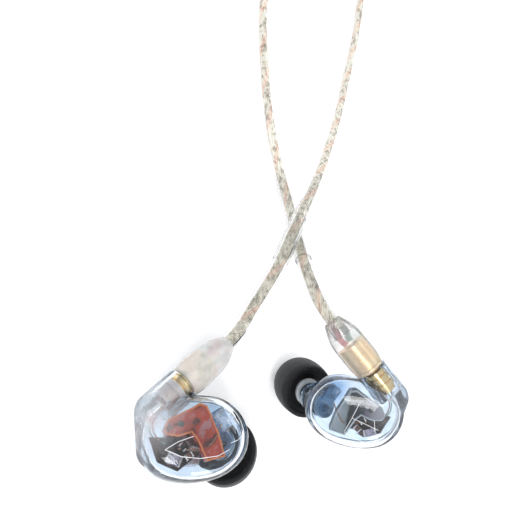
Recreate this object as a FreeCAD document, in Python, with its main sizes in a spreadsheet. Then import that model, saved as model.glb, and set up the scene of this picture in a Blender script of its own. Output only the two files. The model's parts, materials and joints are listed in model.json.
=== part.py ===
import FreeCAD, Part
import math
import os
import re

import Sketcher
from FreeCAD import Placement, Rotation, Vector

# A pair of clear-shelled in ear monitors with plug-in cables, laid on a table.
# Millimetres, +Z up. The origin is on the table, under the middle of the two
# earpieces. "right" is the earpiece for the right ear, with the red parts, and
# "left" the one with the blue parts: the second is the first one's mirror image.

SIZES = (
    # alias, millimetres or degrees, what it is
    ("cover_rise", 4.3, "shell: joint plane to the top of the face cover"),
    ("shell_drop", 6.6, "shell: joint plane to the back of the inner shell"),
    ("shell_wall", 1.1, "shell: wall thickness"),
    ("seat_gap", 0.03, "shell: clearance around the jack and around the stem's foot"),
    ("socket_radius", 3.45, "shell: outside of the connector socket"),
    ("socket_depth", 6.8, "shell: length of the connector socket"),
    ("socket_back", 0.9, "shell: wall behind the jack"),
    ("socket_angle", 40, "shell: socket axis above the long axis"),
    ("carrier_base", 0.3, "drivers: underside of the carrier above the joint plane"),
    ("carrier_thick", 1.9, "drivers: thickness of the carrier"),
    ("carrier_pin", 0.5, "drivers: radius of the carrier's locating pin"),
    ("board_base", -0.8, "drivers: underside of the board, below the joint plane"),
    ("board_thick", 0.6, "drivers: thickness of the board"),
    ("board_pin", 0.35, "drivers: radius of the board's locating pin"),
    ("pin_gap", 0.05, "drivers: clearance round a locating pin"),
    ("pin_proud", 0.12, "drivers: height of a locating pin above its plate"),
    ("tweeter_long", 4.0, "drivers: tweeter, length"),
    ("tweeter_wide", 2.3, "drivers: tweeter, width"),
    ("tweeter_tall", 2.4, "drivers: tweeter, height"),
    ("woofer_long", 6.4, "drivers: each woofer, length"),
    ("woofer_wide", 2.6, "drivers: each woofer, width"),
    ("woofer_tall", 2.5, "drivers: each woofer, height"),
    ("can_round", 0.3, "drivers: rounding of the cans' edges"),
    ("capacitor_long", 2.6, "board: capacitor, length"),
    ("capacitor_wide", 1.6, "board: capacitor, width"),
    ("capacitor_tall", 1.1, "board: capacitor, height"),
    ("resistor_long", 1.4, "board: resistor, length"),
    ("resistor_wide", 0.8, "board: resistor, width"),
    ("resistor_tall", 0.45, "board: resistor, height"),
    ("choke_long", 1.5, "board: choke, length"),
    ("choke_wide", 1.1, "board: choke, width"),
    ("choke_tall", 0.9, "board: choke, height"),
    ("chip_round", 0.1, "board: rounding of its components' edges"),
    ("nozzle_angle", 24, "nozzle: axis away from straight back"),
    ("boss_radius", 3.3, "nozzle: boss on the inner shell"),
    ("boss_end", 7.9, "nozzle: end of the boss along the nozzle axis"),
    ("foot_start", 5.3, "nozzle: start of the stem inside the shell"),
    ("foot_radius", 2.4, "nozzle: foot of the stem, held in the boss"),
    ("stem_radius", 2.65, "nozzle: clear stem behind the boss"),
    ("tip_start", 10.4, "nozzle: where the ear tip begins"),
    ("barb_radius", 1.6, "nozzle: thin end inside the ear tip"),
    ("barb_end", 18.6, "nozzle: outer end of the thin end"),
    ("sound_bore", 0.9, "nozzle: sound bore"),
    ("damper_length", 2.4, "nozzle: length of the acoustic damper"),
    ("core_radius", 2.4, "ear tip: outside of the soft core"),
    ("core_flange", 3.2, "ear tip: flange of the soft core"),
    ("core_length", 10.6, "ear tip: length of the soft core"),
    ("core_gap", 0.05, "ear tip: running clearance on the nozzle"),
    ("foam_radius", 6.8, "ear tip: largest radius of the foam"),
    ("foam_length", 11.8, "ear tip: length of the foam"),
    ("foam_rim", 6.4, "ear tip: radius of the rear rim"),
    ("foam_recess", 2.2, "ear tip: depth of the hollow in the rear face"),
    ("jack_radius", 2.4, "connector: outside of the gold jack"),
    ("jack_bore", 1.75, "connector: bore of the jack"),
    ("jack_length", 5.0, "connector: length of the jack"),
    ("jack_groove", 0.35, "connector: depth of the two grooves round the jack"),
    ("jack_floor", 1.4, "connector: thickness of the jack's insulator"),
    ("contact_radius", 0.45, "connector: outside of the centre contact"),
    ("contact_length", 1.9, "connector: length of the centre contact"),
    ("spigot_radius", 1.7, "connector: spigot of the plug inside the jack"),
    ("spigot_length", 3.3, "connector: length of that spigot"),
    ("groove_radius", 1.4, "connector: floor of the snap ring's groove"),
    ("ring_width", 0.5, "connector: width of the snap ring"),
    ("ring_gap", 0.03, "connector: clearance all round the snap ring"),
    ("plug_flange", 2.45, "connector: gold flange under the boot"),
    ("plug_grip", 2.25, "connector: ribbed barrel inside the boot"),
    ("plug_length", 7.0, "connector: flange to the end of the ribbed barrel"),
    ("pin_radius", 0.22, "connector: centre pin"),
    ("core_insulator", 1.1, "connector: insulator around the pin"),
    ("boot_start", 0.4, "boot: gap between the socket and the boot"),
    ("boot_radius", 3.6, "boot: largest radius"),
    ("boot_mouth", 3.25, "boot: radius next to the socket"),
    ("boot_end", 13.4, "boot: cord end, from the socket"),
    ("cord_radius", 1.3, "cords: side cord, bare"),
    ("wire_radius", 1.85, "cords: formable tube behind the ear"),
    ("sleeve_radius", 2.1, "cords: shrink sleeve"),
    ("main_radius", 1.3, "cords: main cord"),
    ("side_coil_inner", 12.0, "side coil: inside radius"),
    ("side_coil_outer", 18.0, "side coil: outside radius"),
    ("side_coil_rise", 7.9, "side coil: height"),
    ("main_coil_inner", 10.9, "main coil: inside radius"),
    ("main_coil_outer", 19.1, "main coil: outside radius"),
    ("main_coil_rise", 10.5, "main coil: height"),
    ("coil_round", 2.2, "both coils: rounding of the bundle"),
    ("tie_width", 7.0, "coil ties: width"),
    ("tie_thick", 0.6, "coil ties: thickness"),
    ("slider_long", 11.0, "chin slider: length along the cords"),
    ("slider_wide", 8.8, "chin slider: width"),
    ("slider_thick", 4.6, "chin slider: thickness"),
    ("slider_bore", 1.36, "chin slider: radius of its two holes"),
    ("split_long", 18.0, "Y-split: length"),
    ("split_wide", 8.0, "Y-split: width at the side cords"),
    ("split_thick", 5.0, "Y-split: thickness"),
    ("jack_plug_radius", 1.75, "main plug: radius of the 3.5 mm contacts"),
    ("jack_plug_band", 0.5, "main plug: width of each insulating band"),
    ("jack_plug_body", 3.3, "main plug: radius of the grip"),
    ("jack_plug_grip", 19.0, "main plug: length of the grip"),
    ("jack_plug_relief", 9.0, "main plug: length of the strain relief"),
)

# Where each earpiece lies: the middle of its joint plane, then yaw, pitch, roll.
EARPIECES = {
    "right": {"side": 1, "centre": (-17.2, 2.1, 18.39), "turn": (-7.6, -4.8, -22.7)},
    "left": {"side": -1, "centre": (17.4, 0.6, 25.34), "turn": (-20.9, -34.6, 19.8)},
}
SOCKET_MOUTH = (-1.4, 9.0)
NOZZLE_FOOT = (5.7, -1.7)

# The shell's outline in its joint plane, anticlockwise, for the right earpiece.
SHELL_OUTLINE = (
    (-9.7, 1.2), (-9.1, -2.4), (-6.9, -5.4), (-3.0, -7.2), (1.8, -7.7), (6.5, -6.8),
    (9.8, -4.3), (10.9, -0.8), (9.5, 3.2), (6.0, 6.0), (1.0, 6.8), (-4.5, 7.0), (-8.3, 5.2),
)
SHELL_MIDDLE = (0.4, -0.4)
SHELL_REACH = 8.5
# The far end of the fairing behind the socket: x as a share of its near end's x.
FAIRING_END = (0.915, -1.4, -0.7)

# The angular frame that holds the drivers, and the crossover board beside it.
CARRIER_OUTLINE = (
    (-5.4, 1.0), (-4.7, 2.3), (1.2, 4.7), (2.5, 4.3), (4.4, -0.6), (5.2, -4.4), (2.0, -4.8),
    (0.4, -1.2), (-0.6, 0.1), (-2.9, -0.4), (-5.0, 0.0),
)
CARRIER_HOLE = (-2.4, 1.5)
BOARD_OUTLINE = ((-7.4, 0.2), (-1.6, -0.4), (0.9, -3.6), (-2.6, -5.5), (-6.0, -3.8))
BOARD_HOLE = (-5.2, -2.2)
# The components soldered on the board: their size, their middle and their turn.
BOARD_PARTS = (
    ("capacitor", (-3.4, -3.7), -26.6), ("resistor", (-1.7, -1.9), -52), ("choke", (-0.75, -3.5), 28.5),
)
TWEETER_PLACE = (5.9, 2.2, 0.1)
WOOFER_PLACES = ((-1.5, -3.3, -2.3), (-1.5, -0.5, -2.3))

# The cords' routes, from inside each boot to the side coil. The first stretch is
# the formable one, which stands up by itself; then the cord comes down to the
# table. The right cord passes over the left one twice.
RIGHT_ROUTE = (
    (-9.07, 15.08, 13.07), (-2.65, 18.71, 11.70), (2.0, 24.7, 11.8), (5.4, 28.8, 12.4),
    (9.2, 34.1, 13.4), (12.0, 39.9, 14.8), (16.1, 46.2, 14.8), (21.5, 52.7, 12.9),
    (29.4, 62.1, 9.6), (38.1, 74.2, 6.2), (44.7, 84.6, 4.0), (51.2, 97.3, 2.4),
    (57.6, 111.5, 1.5), (63.1, 124.6, 1.3), (68.4, 140.9, 1.3), (71.2, 152.8, 1.3),
    (68.2, 164.3, 1.3), (58.7, 171.3, 1.5), (46.7, 173.1, 3.0), (32.7, 172.4, 5.6),
    (18.7, 171.4, 5.4), (4.7, 171.8, 2.3), (-26.8, 171.8, 2.3), (-36.5, 171.7, 1.6),
)
LEFT_ROUTE = (
    (15.24, 16.64, 26.22), (11.57, 22.90, 24.30), (13.0, 28.4, 20.4), (14.6, 33.4, 16.6),
    (16.5, 38.3, 13.0), (18.3, 44.0, 9.4), (19.6, 50.0, 6.7), (20.1, 55.9, 4.6),
    (19.9, 63.0, 3.0), (19.6, 70.5, 2.0), (19.2, 78.6, 1.5), (19.0, 86.7, 1.3),
    (19.2, 96.8, 1.3), (19.7, 107.1, 1.3), (20.9, 120.9, 1.3), (25.2, 133.3, 1.3),
    (29.7, 145.8, 1.3), (30.2, 158.8, 1.3), (25.7, 170.0, 1.3), (15.7, 174.6, 1.5),
    (4.2, 175.0, 2.3), (-26.8, 175.0, 2.3), (-35.9, 174.8, 1.6),
)
# How many runs and arcs of its cord each formable tube covers, and the first and
# last that each shrink sleeve covers.
FORMABLE_STEPS = 11
SLEEVE_STEPS = {"right": (7, 15), "left": (5, 16)}

SIDE_COIL_CENTRE = (-38.3, 158.4)
MAIN_COIL_CENTRE = (-71.0, 112.8)
SIDE_TAIL = {
    "right": ((-51.7, 158.8, 6.5), (-51.6, 151.0, 4.8), (-51.9, 143.8, 2.6)),
    "left": ((-54.9, 158.8, 6.5), (-55.0, 151.0, 4.8), (-54.7, 143.8, 2.6)),
}
SLIDER_START = -13.0
SPLIT_START = (-53.3, 143.8, 2.5)
MAIN_LEAD = ((-53.3, 125.8, 2.5), (-53.4, 120.8, 1.8), (-53.7, 115.3, 1.4))
MAIN_TAIL = ((-88.6, 114.3, 9.1), (-88.8, 122.3, 7.6), (-88.7, 130.3, 4.9), (-88.3, 137.8, 3.3))
PLUG_START = (-88.3, 137.8, 3.3)


def make_sheet(doc):
    """Fill the spreadsheet that drives the model."""
    sheet = doc.addObject("Spreadsheet::Sheet", "Sizes")
    for row, (alias, value, meaning) in enumerate(SIZES, start=1):
        sheet.set("A%d" % row, meaning)
        sheet.set("B%d" % row, str(value))
        sheet.setAlias("B%d" % row, alias)
    doc.recompute()
    return sheet


def bound(text):
    """Turn 'boot_end - 1' into an expression on the spreadsheet."""
    return re.sub(r"([a-z]\w*)", r"Sizes.\1", text)


class Model:
    """The document, its spreadsheet and the finished sub-parts."""

    def __init__(self):
        self.doc = FreeCAD.newDocument("InEarMonitors")
        self.sheet = make_sheet(self.doc)
        self.pieces = []

    def size(self, text):
        """The value of an expression on the spreadsheet's aliases."""
        return float(self.sheet.evalExpression(bound(text)))

    def keep(self, thing, label):
        """Name a finished sub-part."""
        thing.Label = label
        self.pieces.append(thing)
        return thing

    def turned(self, label, place, profile, curves=(), keep=True):
        """A body turned about its own Z axis from a closed profile of (radius, height).

        curves gives (segment number, radius, height): a point that this segment
        of the profile passes through as an arc.
        """
        body = self.doc.addObject("PartDesign::Body", label)
        sketch = self.sketch(body, "XZ_Plane")
        corners = [Vector(self.size(r), self.size(h), 0) for r, h in profile]
        bends = {number: Vector(self.size(r), self.size(h), 0) for number, r, h in curves}
        count = len(corners)
        ends = []
        for number, corner in enumerate(corners):
            following = corners[(number + 1) % count]
            if number in bends:
                edge = Part.ArcOfCircle(corner, bends[number], following)
            else:
                edge = Part.LineSegment(corner, following)
            index = sketch.addGeometry(edge, False)
            forward = sketch.getPoint(index, 1).distanceToPoint(corner) < 1e-6
            ends.append((1, 2) if forward else (2, 1))
        for number, (_, last) in enumerate(ends):
            after = (number + 1) % count
            joint = Sketcher.Constraint("Coincident", number, last, after, ends[after][0])
            sketch.addConstraint(joint)
        for number, texts in enumerate(profile):
            for kind, axis, text in zip(("DistanceX", "DistanceY"), (-2, -1), texts):
                self.place_corner(sketch, kind, axis, number, ends[number][0], text)
        turn = body.newObject("PartDesign::Revolution", label + "_turn")
        turn.Profile = sketch
        turn.ReferenceAxis = (sketch, ["V_Axis"])
        turn.Angle = 360
        body.Tip = turn
        body.Placement = place
        body.Label = label
        if keep:
            self.pieces.append(body)
        return body

    def sketch(self, body, plane):
        """A sketch on one of the body's own origin planes."""
        sketch = body.newObject("Sketcher::SketchObject", body.Name + "_sketch")
        faces = [item for item in body.Origin.OriginFeatures if item.Role == plane]
        sketch.AttachmentSupport = (faces[0], [""])
        sketch.MapMode = "FlatFace"
        return sketch

    def place_corner(self, sketch, kind, axis, edge, end, text):
        """Hold one coordinate of a corner on an axis or at a spreadsheet value."""
        if text == "0":
            sketch.addConstraint(Sketcher.Constraint("PointOnObject", edge, end, axis))
            return
        length = Sketcher.Constraint(kind, -1, 1, edge, end, self.size(text))
        index = sketch.addConstraint(length)
        sketch.setExpression("Constraints[%d]" % index, bound(text))

    def plate(self, label, place, outline, side, hole, alias):
        """A flat plate padded up from a polygon, with a hole for its locating pin."""
        body = self.doc.addObject("PartDesign::Body", label)
        sketch = self.sketch(body, "XY_Plane")
        corners = [Vector(x * side, y, 0) for x, y in outline]
        for start, end in zip(corners, corners[1:] + corners[:1]):
            sketch.addGeometry(Part.LineSegment(start, end), False)
        middle = Vector(hole[0] * side, hole[1], 0)
        radius = alias + "_pin + pin_gap"
        ring = sketch.addGeometry(Part.Circle(middle, Vector(0, 0, 1), self.size(radius)), False)
        index = sketch.addConstraint(Sketcher.Constraint("Radius", ring, self.size(radius)))
        sketch.setExpression("Constraints[%d]" % index, bound(radius))
        pad = body.newObject("PartDesign::Pad", label + "_pad")
        pad.Profile = sketch
        pad.setExpression("Length", bound(alias + "_thick"))
        body.Tip = pad
        body.Placement = place
        return self.keep(body, label)

    def block(self, alias, place, rounding):
        """A box with rounded edges, centred on its placement."""
        box = self.doc.addObject("Part::Box", alias + "_box")
        corner = Vector()
        for axis, (side, word) in enumerate((("Length", "long"), ("Width", "wide"), ("Height", "tall"))):
            text = "%s_%s" % (alias, word)
            box.setExpression(side, bound(text))
            corner[axis] = -self.size(text) / 2
        box.Placement = place.multiply(Placement(corner, Rotation()))
        self.doc.recompute()
        rounded = self.doc.addObject("Part::Fillet", alias)
        rounded.Base = box
        radius = self.size(rounding)
        rounded.Edges = [(number, radius, radius) for number in range(1, len(box.Shape.Edges) + 1)]
        return rounded

    def group(self, label, things):
        """Like pieces as one sub-part of separate solids."""
        compound = self.doc.addObject("Part::Compound", label)
        compound.Links = things
        return self.keep(compound, label)

    def shaped(self, label, shape, place=None, keep=True):
        """A feature whose shape is made directly."""
        feature = self.doc.addObject("Part::Feature", label)
        feature.Shape = shape
        if place is not None:
            feature.Placement = place
        feature.Label = label
        if keep:
            self.pieces.append(feature)
        return feature


def earpiece_place(ear):
    """The placement of an earpiece's own frame."""
    return Placement(Vector(*ear["centre"]), Rotation(*ear["turn"]))


def axis_place(ear, start, direction):
    """A placement whose Z axis starts at a point of the earpiece and runs along direction."""
    local = Placement(Vector(*start), Rotation(Vector(0, 0, 1), Vector(*direction)))
    return earpiece_place(ear).multiply(local)


def socket_direction(model, ear):
    angle = math.radians(model.size("socket_angle"))
    return (math.cos(angle) * ear["side"], math.sin(angle), 0)


def nozzle_direction(model, ear):
    angle = math.radians(model.size("nozzle_angle"))
    return (math.sin(angle) * ear["side"], 0, -math.cos(angle))


def along_socket(model, ear, distance):
    """A placement on the connector's axis, this far outside the socket's mouth."""
    way = Vector(*socket_direction(model, ear))
    mouth = Vector(SOCKET_MOUTH[0] * ear["side"], SOCKET_MOUTH[1], 0)
    return axis_place(ear, mouth + way * distance, way)


def along_nozzle(model, ear, distance):
    """A placement on the nozzle's axis, this far from the joint plane."""
    way = Vector(*nozzle_direction(model, ear))
    foot = Vector(NOZZLE_FOOT[0] * ear["side"], NOZZLE_FOOT[1], 0)
    return axis_place(ear, foot + way * distance, way)


# ---------------------------------------------------------------- the shell

def pebble(side, rise, drop, shrink):
    """The rounded body of the shell, lofted through scaled copies of its outline."""
    sections = []
    for step in range(-4, 5):
        angle = math.radians(20 * step)
        reach = rise if step > 0 else drop
        height = math.copysign(abs(math.sin(angle)) ** 0.85, step) * reach if step else 0
        scale = math.cos(angle) ** 0.55 * shrink
        points = []
        for x, y in SHELL_OUTLINE:
            across = SHELL_MIDDLE[0] + (x - SHELL_MIDDLE[0]) * scale
            along = SHELL_MIDDLE[1] + (y - SHELL_MIDDLE[1]) * scale
            points.append(Vector(across * side, along, height))
        curve = Part.BSplineCurve()
        curve.interpolate(points, PeriodicFlag=True)
        sections.append(Part.Wire(curve.toShape()))
    return Part.makeLoft(sections, True)


def rod(start, way, first, last, radius):
    """A cylinder along way, from first to last past start."""
    return Part.makeCylinder(radius, last - first, start + way * first, way)


def fairing(mouth, way, depth, radius):
    """The rounded flow of the shell from the connector's socket into its broad end."""
    start = mouth - way * depth
    end = Vector(start.x * FAIRING_END[0], *FAIRING_END[1:])
    flow = rod(start, (end - start).normalize(), 0, (end - start).Length, radius)
    return flow.fuse(Part.makeSphere(radius, start)).fuse(Part.makeSphere(radius, end))


def make_shell(model, name, ear):
    """The face cover and the inner shell, split in the joint plane."""
    side = ear["side"]
    rise, drop = model.size("cover_rise"), model.size("shell_drop")
    wall = model.size("shell_wall")
    radius, depth = model.size("socket_radius"), model.size("socket_depth")
    back_wall = model.size("jack_length + socket_back")
    mouth = Vector(SOCKET_MOUTH[0] * side, SOCKET_MOUTH[1], 0)
    way = Vector(*socket_direction(model, ear))
    foot = Vector(NOZZLE_FOOT[0] * side, NOZZLE_FOOT[1], 0)
    back = Vector(*nozzle_direction(model, ear))
    outside = pebble(side, rise, drop, 1.0)
    outside = outside.fuse(rod(mouth, way, -depth, 0, radius))
    outside = outside.fuse(fairing(mouth, way, depth, radius))
    boss = rod(foot, back, model.size("foot_start") - 1.8, model.size("boss_end"), model.size("boss_radius"))
    outside = outside.fuse(boss)
    inside = pebble(side, rise - wall, drop - wall, 1 - wall / SHELL_REACH)
    inside = inside.cut(rod(mouth, way, -back_wall, 1, radius))
    jack_room = rod(mouth, way, -back_wall - 0.1, 1, model.size("jack_radius + seat_gap"))
    stem_room = rod(foot, back, 2.5, model.size("barb_end"), model.size("foot_radius + seat_gap"))
    solid = outside.cut(inside).cut(jack_room).cut(stem_room)
    span = 60
    half = Part.makeBox(span, span, span, Vector(-span / 2, -span / 2, 0))
    place = earpiece_place(ear)
    cover = solid.common(half)
    inner = solid.cut(half)
    model.shaped(name + "_face_cover", largest(cover), place)
    model.shaped(name + "_inner_shell", largest(inner), place)


def largest(shape):
    """The largest solid of a shape."""
    return max(shape.Solids, key=lambda solid: solid.Volume)


# ------------------------------------------------------- inside the earpiece

def make_drivers(model, name, ear):
    """Carrier, crossover board and its components, tweeter, woofers and sound chamber."""
    side = ear["side"]
    home = earpiece_place(ear)

    def at(x, y, z, spin=0):
        turn = Rotation(Vector(0, 0, 1), spin * side)
        return home.multiply(Placement(Vector(x * side, y, z), turn))

    plates = (
        ("_driver_carrier", "carrier", CARRIER_OUTLINE, CARRIER_HOLE),
        ("_crossover_board", "board", BOARD_OUTLINE, BOARD_HOLE),
    )
    pins = []
    for label, alias, outline, hole in plates:
        base = model.size(alias + "_base")
        model.plate(name + label, at(0, 0, base), outline, side, hole, alias)
        pin = model.doc.addObject("Part::Cylinder", alias + "_pin")
        pin.setExpression("Radius", bound(alias + "_pin"))
        pin.setExpression("Height", bound(alias + "_thick + pin_proud"))
        pin.Placement = at(*hole, base)
        pins.append(pin)
    model.group(name + "_locating_pins", pins)
    parts = []
    for alias, middle, spin in BOARD_PARTS:
        height = model.size("board_base + board_thick + %s_tall / 2" % alias)
        parts.append(model.block(alias, at(*middle, height, spin), "chip_round"))
    model.group(name + "_crossover_parts", parts)
    model.keep(model.block("tweeter", at(*TWEETER_PLACE, -64), "can_round"), name + "_tweeter")
    cans = [model.block("woofer", at(*middle, -8), "can_round") for middle in WOOFER_PLACES]
    model.group(name + "_woofers", cans)
    model.turned(name + "_sound_chamber", along_nozzle(model, ear, 1.2), [
        ("sound_bore", "0.6"), ("1.9", "0"), ("2.3", "0.6"), ("2.3", "2.4"),
        ("1.7", "foot_start - 1.3"), ("sound_bore", "foot_start - 1.3"),
    ])


def make_nozzle(model, name, ear):
    """The clear sound stem and the damper in its bore."""
    model.turned(name + "_nozzle_stem", along_nozzle(model, ear, model.size("foot_start")), [
        ("sound_bore", "0"), ("foot_radius", "0"), ("foot_radius", "boss_end - foot_start"),
        ("stem_radius", "boss_end - foot_start"), ("stem_radius", "tip_start - foot_start - 0.8"),
        ("barb_radius", "tip_start - foot_start - 0.2"), ("barb_radius", "barb_end - foot_start - 0.4"),
        ("barb_radius - 0.3", "barb_end - foot_start"), ("sound_bore + 0.2", "barb_end - foot_start"),
        ("sound_bore + 0.2", "barb_end - foot_start - damper_length"),
        ("sound_bore", "barb_end - foot_start - damper_length"),
    ])
    seat = model.size("barb_end - damper_length")
    model.turned(name + "_acoustic_damper", along_nozzle(model, ear, seat), [
        ("0", "0.1"), ("sound_bore + 0.2", "0.1"), ("sound_bore + 0.2", "damper_length - 0.2"),
        ("0", "damper_length - 0.2"),
    ])


def make_tip(model, name, ear):
    """The foam ear tip on its soft core; it pulls off the nozzle."""
    place = along_nozzle(model, ear, model.size("tip_start"))
    model.turned(name + "_tip_core", place, [
        ("barb_radius + core_gap", "0"), ("core_flange", "0"), ("core_flange", "0.7"),
        ("core_radius", "1.2"), ("core_radius", "core_length"), ("barb_radius + core_gap", "core_length"),
    ])
    model.turned(name + "_foam_tip", place, [
        ("core_radius", "foam_recess"), ("core_flange + 0.6", "foam_recess"), ("foam_rim - 0.8", "0.3"),
        ("foam_rim", "0"), ("foam_radius", "foam_length * 0.3"), ("foam_radius * 0.34", "foam_length"),
        ("core_radius * 0.8", "foam_length"), ("core_radius * 0.8", "core_length"),
        ("core_radius", "core_length"),
    ], curves=[(4, "foam_radius * 0.83", "foam_length * 0.78")])


# ------------------------------------------------------------- the connector

def make_jack(model, name, ear):
    """The gold jack in the earpiece, with its insulator and centre contact."""
    place = along_socket(model, ear, -model.size("jack_length"))
    model.turned(name + "_jack_barrel", place, [
        ("jack_bore", "0"), ("jack_radius - 0.3", "0"), ("jack_radius - 0.3", "0.7"), ("jack_radius", "0.9"),
        ("jack_radius", "1.9"), ("jack_radius - jack_groove", "2.0"), ("jack_radius - jack_groove", "2.5"),
        ("jack_radius", "2.6"), ("jack_radius", "3.6"), ("jack_radius - jack_groove", "3.7"),
        ("jack_radius - jack_groove", "4.0"), ("jack_radius", "4.1"), ("jack_radius", "jack_length - 0.1"),
        ("jack_bore + 0.2", "jack_length - 0.1"), ("jack_bore", "jack_length - 0.3"),
    ])
    model.turned(name + "_jack_insulator", place, [
        ("contact_radius", "0"), ("jack_bore", "0"), ("jack_bore", "jack_floor"),
        ("contact_radius", "jack_floor"),
    ])
    model.turned(name + "_jack_contact", place, [
        ("0", "0"), ("contact_radius", "0"), ("contact_radius", "contact_length"),
        ("pin_radius + 0.03", "contact_length"), ("pin_radius + 0.03", "0.4"), ("0", "0.4"),
    ])


def make_plug(model, name, ear):
    """The cable's plug: it turns in the snap ring, which holds it in the jack."""
    place = along_socket(model, ear, -model.size("spigot_length"))
    neck = "spigot_length + boot_start - 0.2"
    model.turned(name + "_plug_barrel", place, [
        ("core_insulator", "0"), ("spigot_radius - 0.15", "0"), ("spigot_radius", "0.2"),
        ("spigot_radius", "1.0"), ("groove_radius", "1.0"),
        ("groove_radius", "1.0 + ring_width + 2 * ring_gap"),
        ("spigot_radius", "1.0 + ring_width + 2 * ring_gap"), ("spigot_radius", neck), ("plug_flange", neck),
        ("plug_flange", neck + " + 0.8"), ("plug_grip", neck + " + 1.0"),
        ("plug_grip", "spigot_length + plug_length"), ("core_insulator", "spigot_length + plug_length"),
    ])
    model.turned(name + "_plug_insulator", place, [
        ("pin_radius", "0.4"), ("core_insulator", "0.4"),
        ("core_insulator", "spigot_length + plug_length - 1"),
        ("pin_radius", "spigot_length + plug_length - 1"),
    ])
    pin_place = along_socket(model, ear, -model.size("spigot_length") - 0.8)
    model.turned(name + "_plug_pin", pin_place, [
        ("0", "0"), ("pin_radius - 0.08", "0"), ("pin_radius", "0.2"),
        ("pin_radius", "spigot_length + plug_length + 0.6"), ("0", "spigot_length + plug_length + 0.6"),
    ])
    ring_place = along_socket(model, ear, 1.0 + model.size("ring_gap") - model.size("spigot_length"))
    model.turned(name + "_snap_ring", ring_place, [
        ("groove_radius + ring_gap", "0"), ("spigot_radius", "0"), ("spigot_radius", "ring_width"),
        ("groove_radius + ring_gap", "ring_width"),
    ])


def make_boot(model, name, ear):
    """The soft boot moulded over the plug and the start of the cord."""
    place = along_socket(model, ear, model.size("boot_start"))
    tail = "boot_end - boot_start"
    model.turned(name + "_cable_boot", place, [
        ("plug_flange", "0"), ("boot_mouth", "0"), ("boot_radius", "2.6"), ("boot_radius", "7.2"),
        ("boot_radius - 0.4", "10.6"), ("wire_radius + 0.35", tail), ("wire_radius", tail),
        ("wire_radius", "plug_length + 1.6"), ("pin_radius", "plug_length + 1.6"),
        ("pin_radius", "plug_length - boot_start"), ("plug_grip", "plug_length - boot_start"),
        ("plug_grip", "0.8"), ("plug_flange", "0.6"),
    ], curves=[(1, "boot_radius - 0.08", "1.4"), (4, "boot_radius - 0.75", "boot_end - boot_start - 1.0")])


# ----------------------------------------------------------------- the cords

def path_edges(route, label):
    """Straight runs joined by tangent arcs, each as large as its two runs allow."""
    points = [Vector(*point) for point in route]
    edges = []
    start = points[0]
    radii = []
    for before, corner, after in zip(points, points[1:], points[2:]):
        first, second = corner - before, after - corner
        half = first.getAngle(second) / 2
        reach = 0.45 * min(first.Length, second.Length)
        radii.append(reach / math.tan(half))
        entry = corner - first.normalize() * reach
        leave = corner + second.normalize() * reach
        inward = (entry + leave) * 0.5 - corner
        middle = corner + inward.normalize() * (radii[-1] / math.cos(half) - radii[-1])
        edges.append(Part.LineSegment(start, entry).toShape())
        edges.append(Part.Arc(entry, middle, leave).toShape())
        start = leave
    edges.append(Part.LineSegment(start, points[-1]).toShape())
    print("%s: bend radii %s" % (label, " ".join("%.0f" % radius for radius in radii)))
    return edges


def tube(edges, radius):
    """A round tube swept along a path of lines and arcs."""
    wire = Part.Wire(edges)
    start = edges[0].valueAt(edges[0].FirstParameter)
    way = edges[0].tangentAt(edges[0].FirstParameter)
    ring = Part.Wire(Part.makeCircle(radius, start, way))
    solid = wire.makePipeShell([ring], True, False)
    expected = math.pi * radius ** 2 * sum(edge.Length for edge in edges)
    if abs(solid.Volume / expected - 1) > 0.02:
        raise RuntimeError("a tube's volume is %.1f, not %.1f" % (solid.Volume, expected))
    return solid


def make_side_cord(model, name, route):
    """One side cord, the formable tube over its first stretch and the shrink sleeve."""
    edges = path_edges(route, name + " side cord")
    first, last = SLEEVE_STEPS[name]
    cord = model.size("cord_radius")
    wire = model.size("wire_radius")
    bare = tube(edges, cord)
    tail = tube(path_edges(SIDE_TAIL[name], name + " tail"), cord)
    model.shaped(name + "_side_cord", Part.makeCompound([bare, tail]))
    over = tube(edges[:FORMABLE_STEPS], wire)
    model.shaped(name + "_ear_wire", over.cut(tube(edges[:FORMABLE_STEPS], cord)))
    covered = edges[first:last]
    jacket = tube(covered, model.size("sleeve_radius"))
    inside = tube(edges[first:FORMABLE_STEPS], wire)
    model.shaped(name + "_shrink_sleeve", jacket.cut(inside).cut(tube(covered, cord)))
    return bare, tail


def upright(x, y, height=0.0):
    return Placement(Vector(x, y, height), Rotation())


def coil_blank(model, label, centre, inner, outer, rise):
    """The outer shape of a coil: a ring with rounded corners."""
    return model.turned(label, upright(*centre), [
        (inner, "coil_round"), (inner + " + coil_round", "0"), (outer + " - coil_round", "0"),
        (outer, "coil_round"), (outer, rise + " - coil_round"), (outer + " - coil_round", rise),
        (inner + " + coil_round", rise), (inner, rise + " - coil_round"),
    ], keep=False)


def tie_band(model, centre, inner, outer, rise, heading):
    """A flat strap round a coil's bundle, at the side of the coil that heading gives."""
    thick, width = model.size("tie_thick"), model.size("tie_width")
    deep = outer - inner + 2 * thick
    band = Part.makeBox(deep, width, rise + thick, Vector(inner - thick, -width / 2, 0))
    room = Part.makeBox(outer - inner, width, rise - thick, Vector(inner, -width / 2, thick))
    band = band.cut(room)
    band.Placement = Placement(Vector(centre[0], centre[1], 0), Rotation(Vector(0, 0, 1), heading))
    return band


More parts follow.
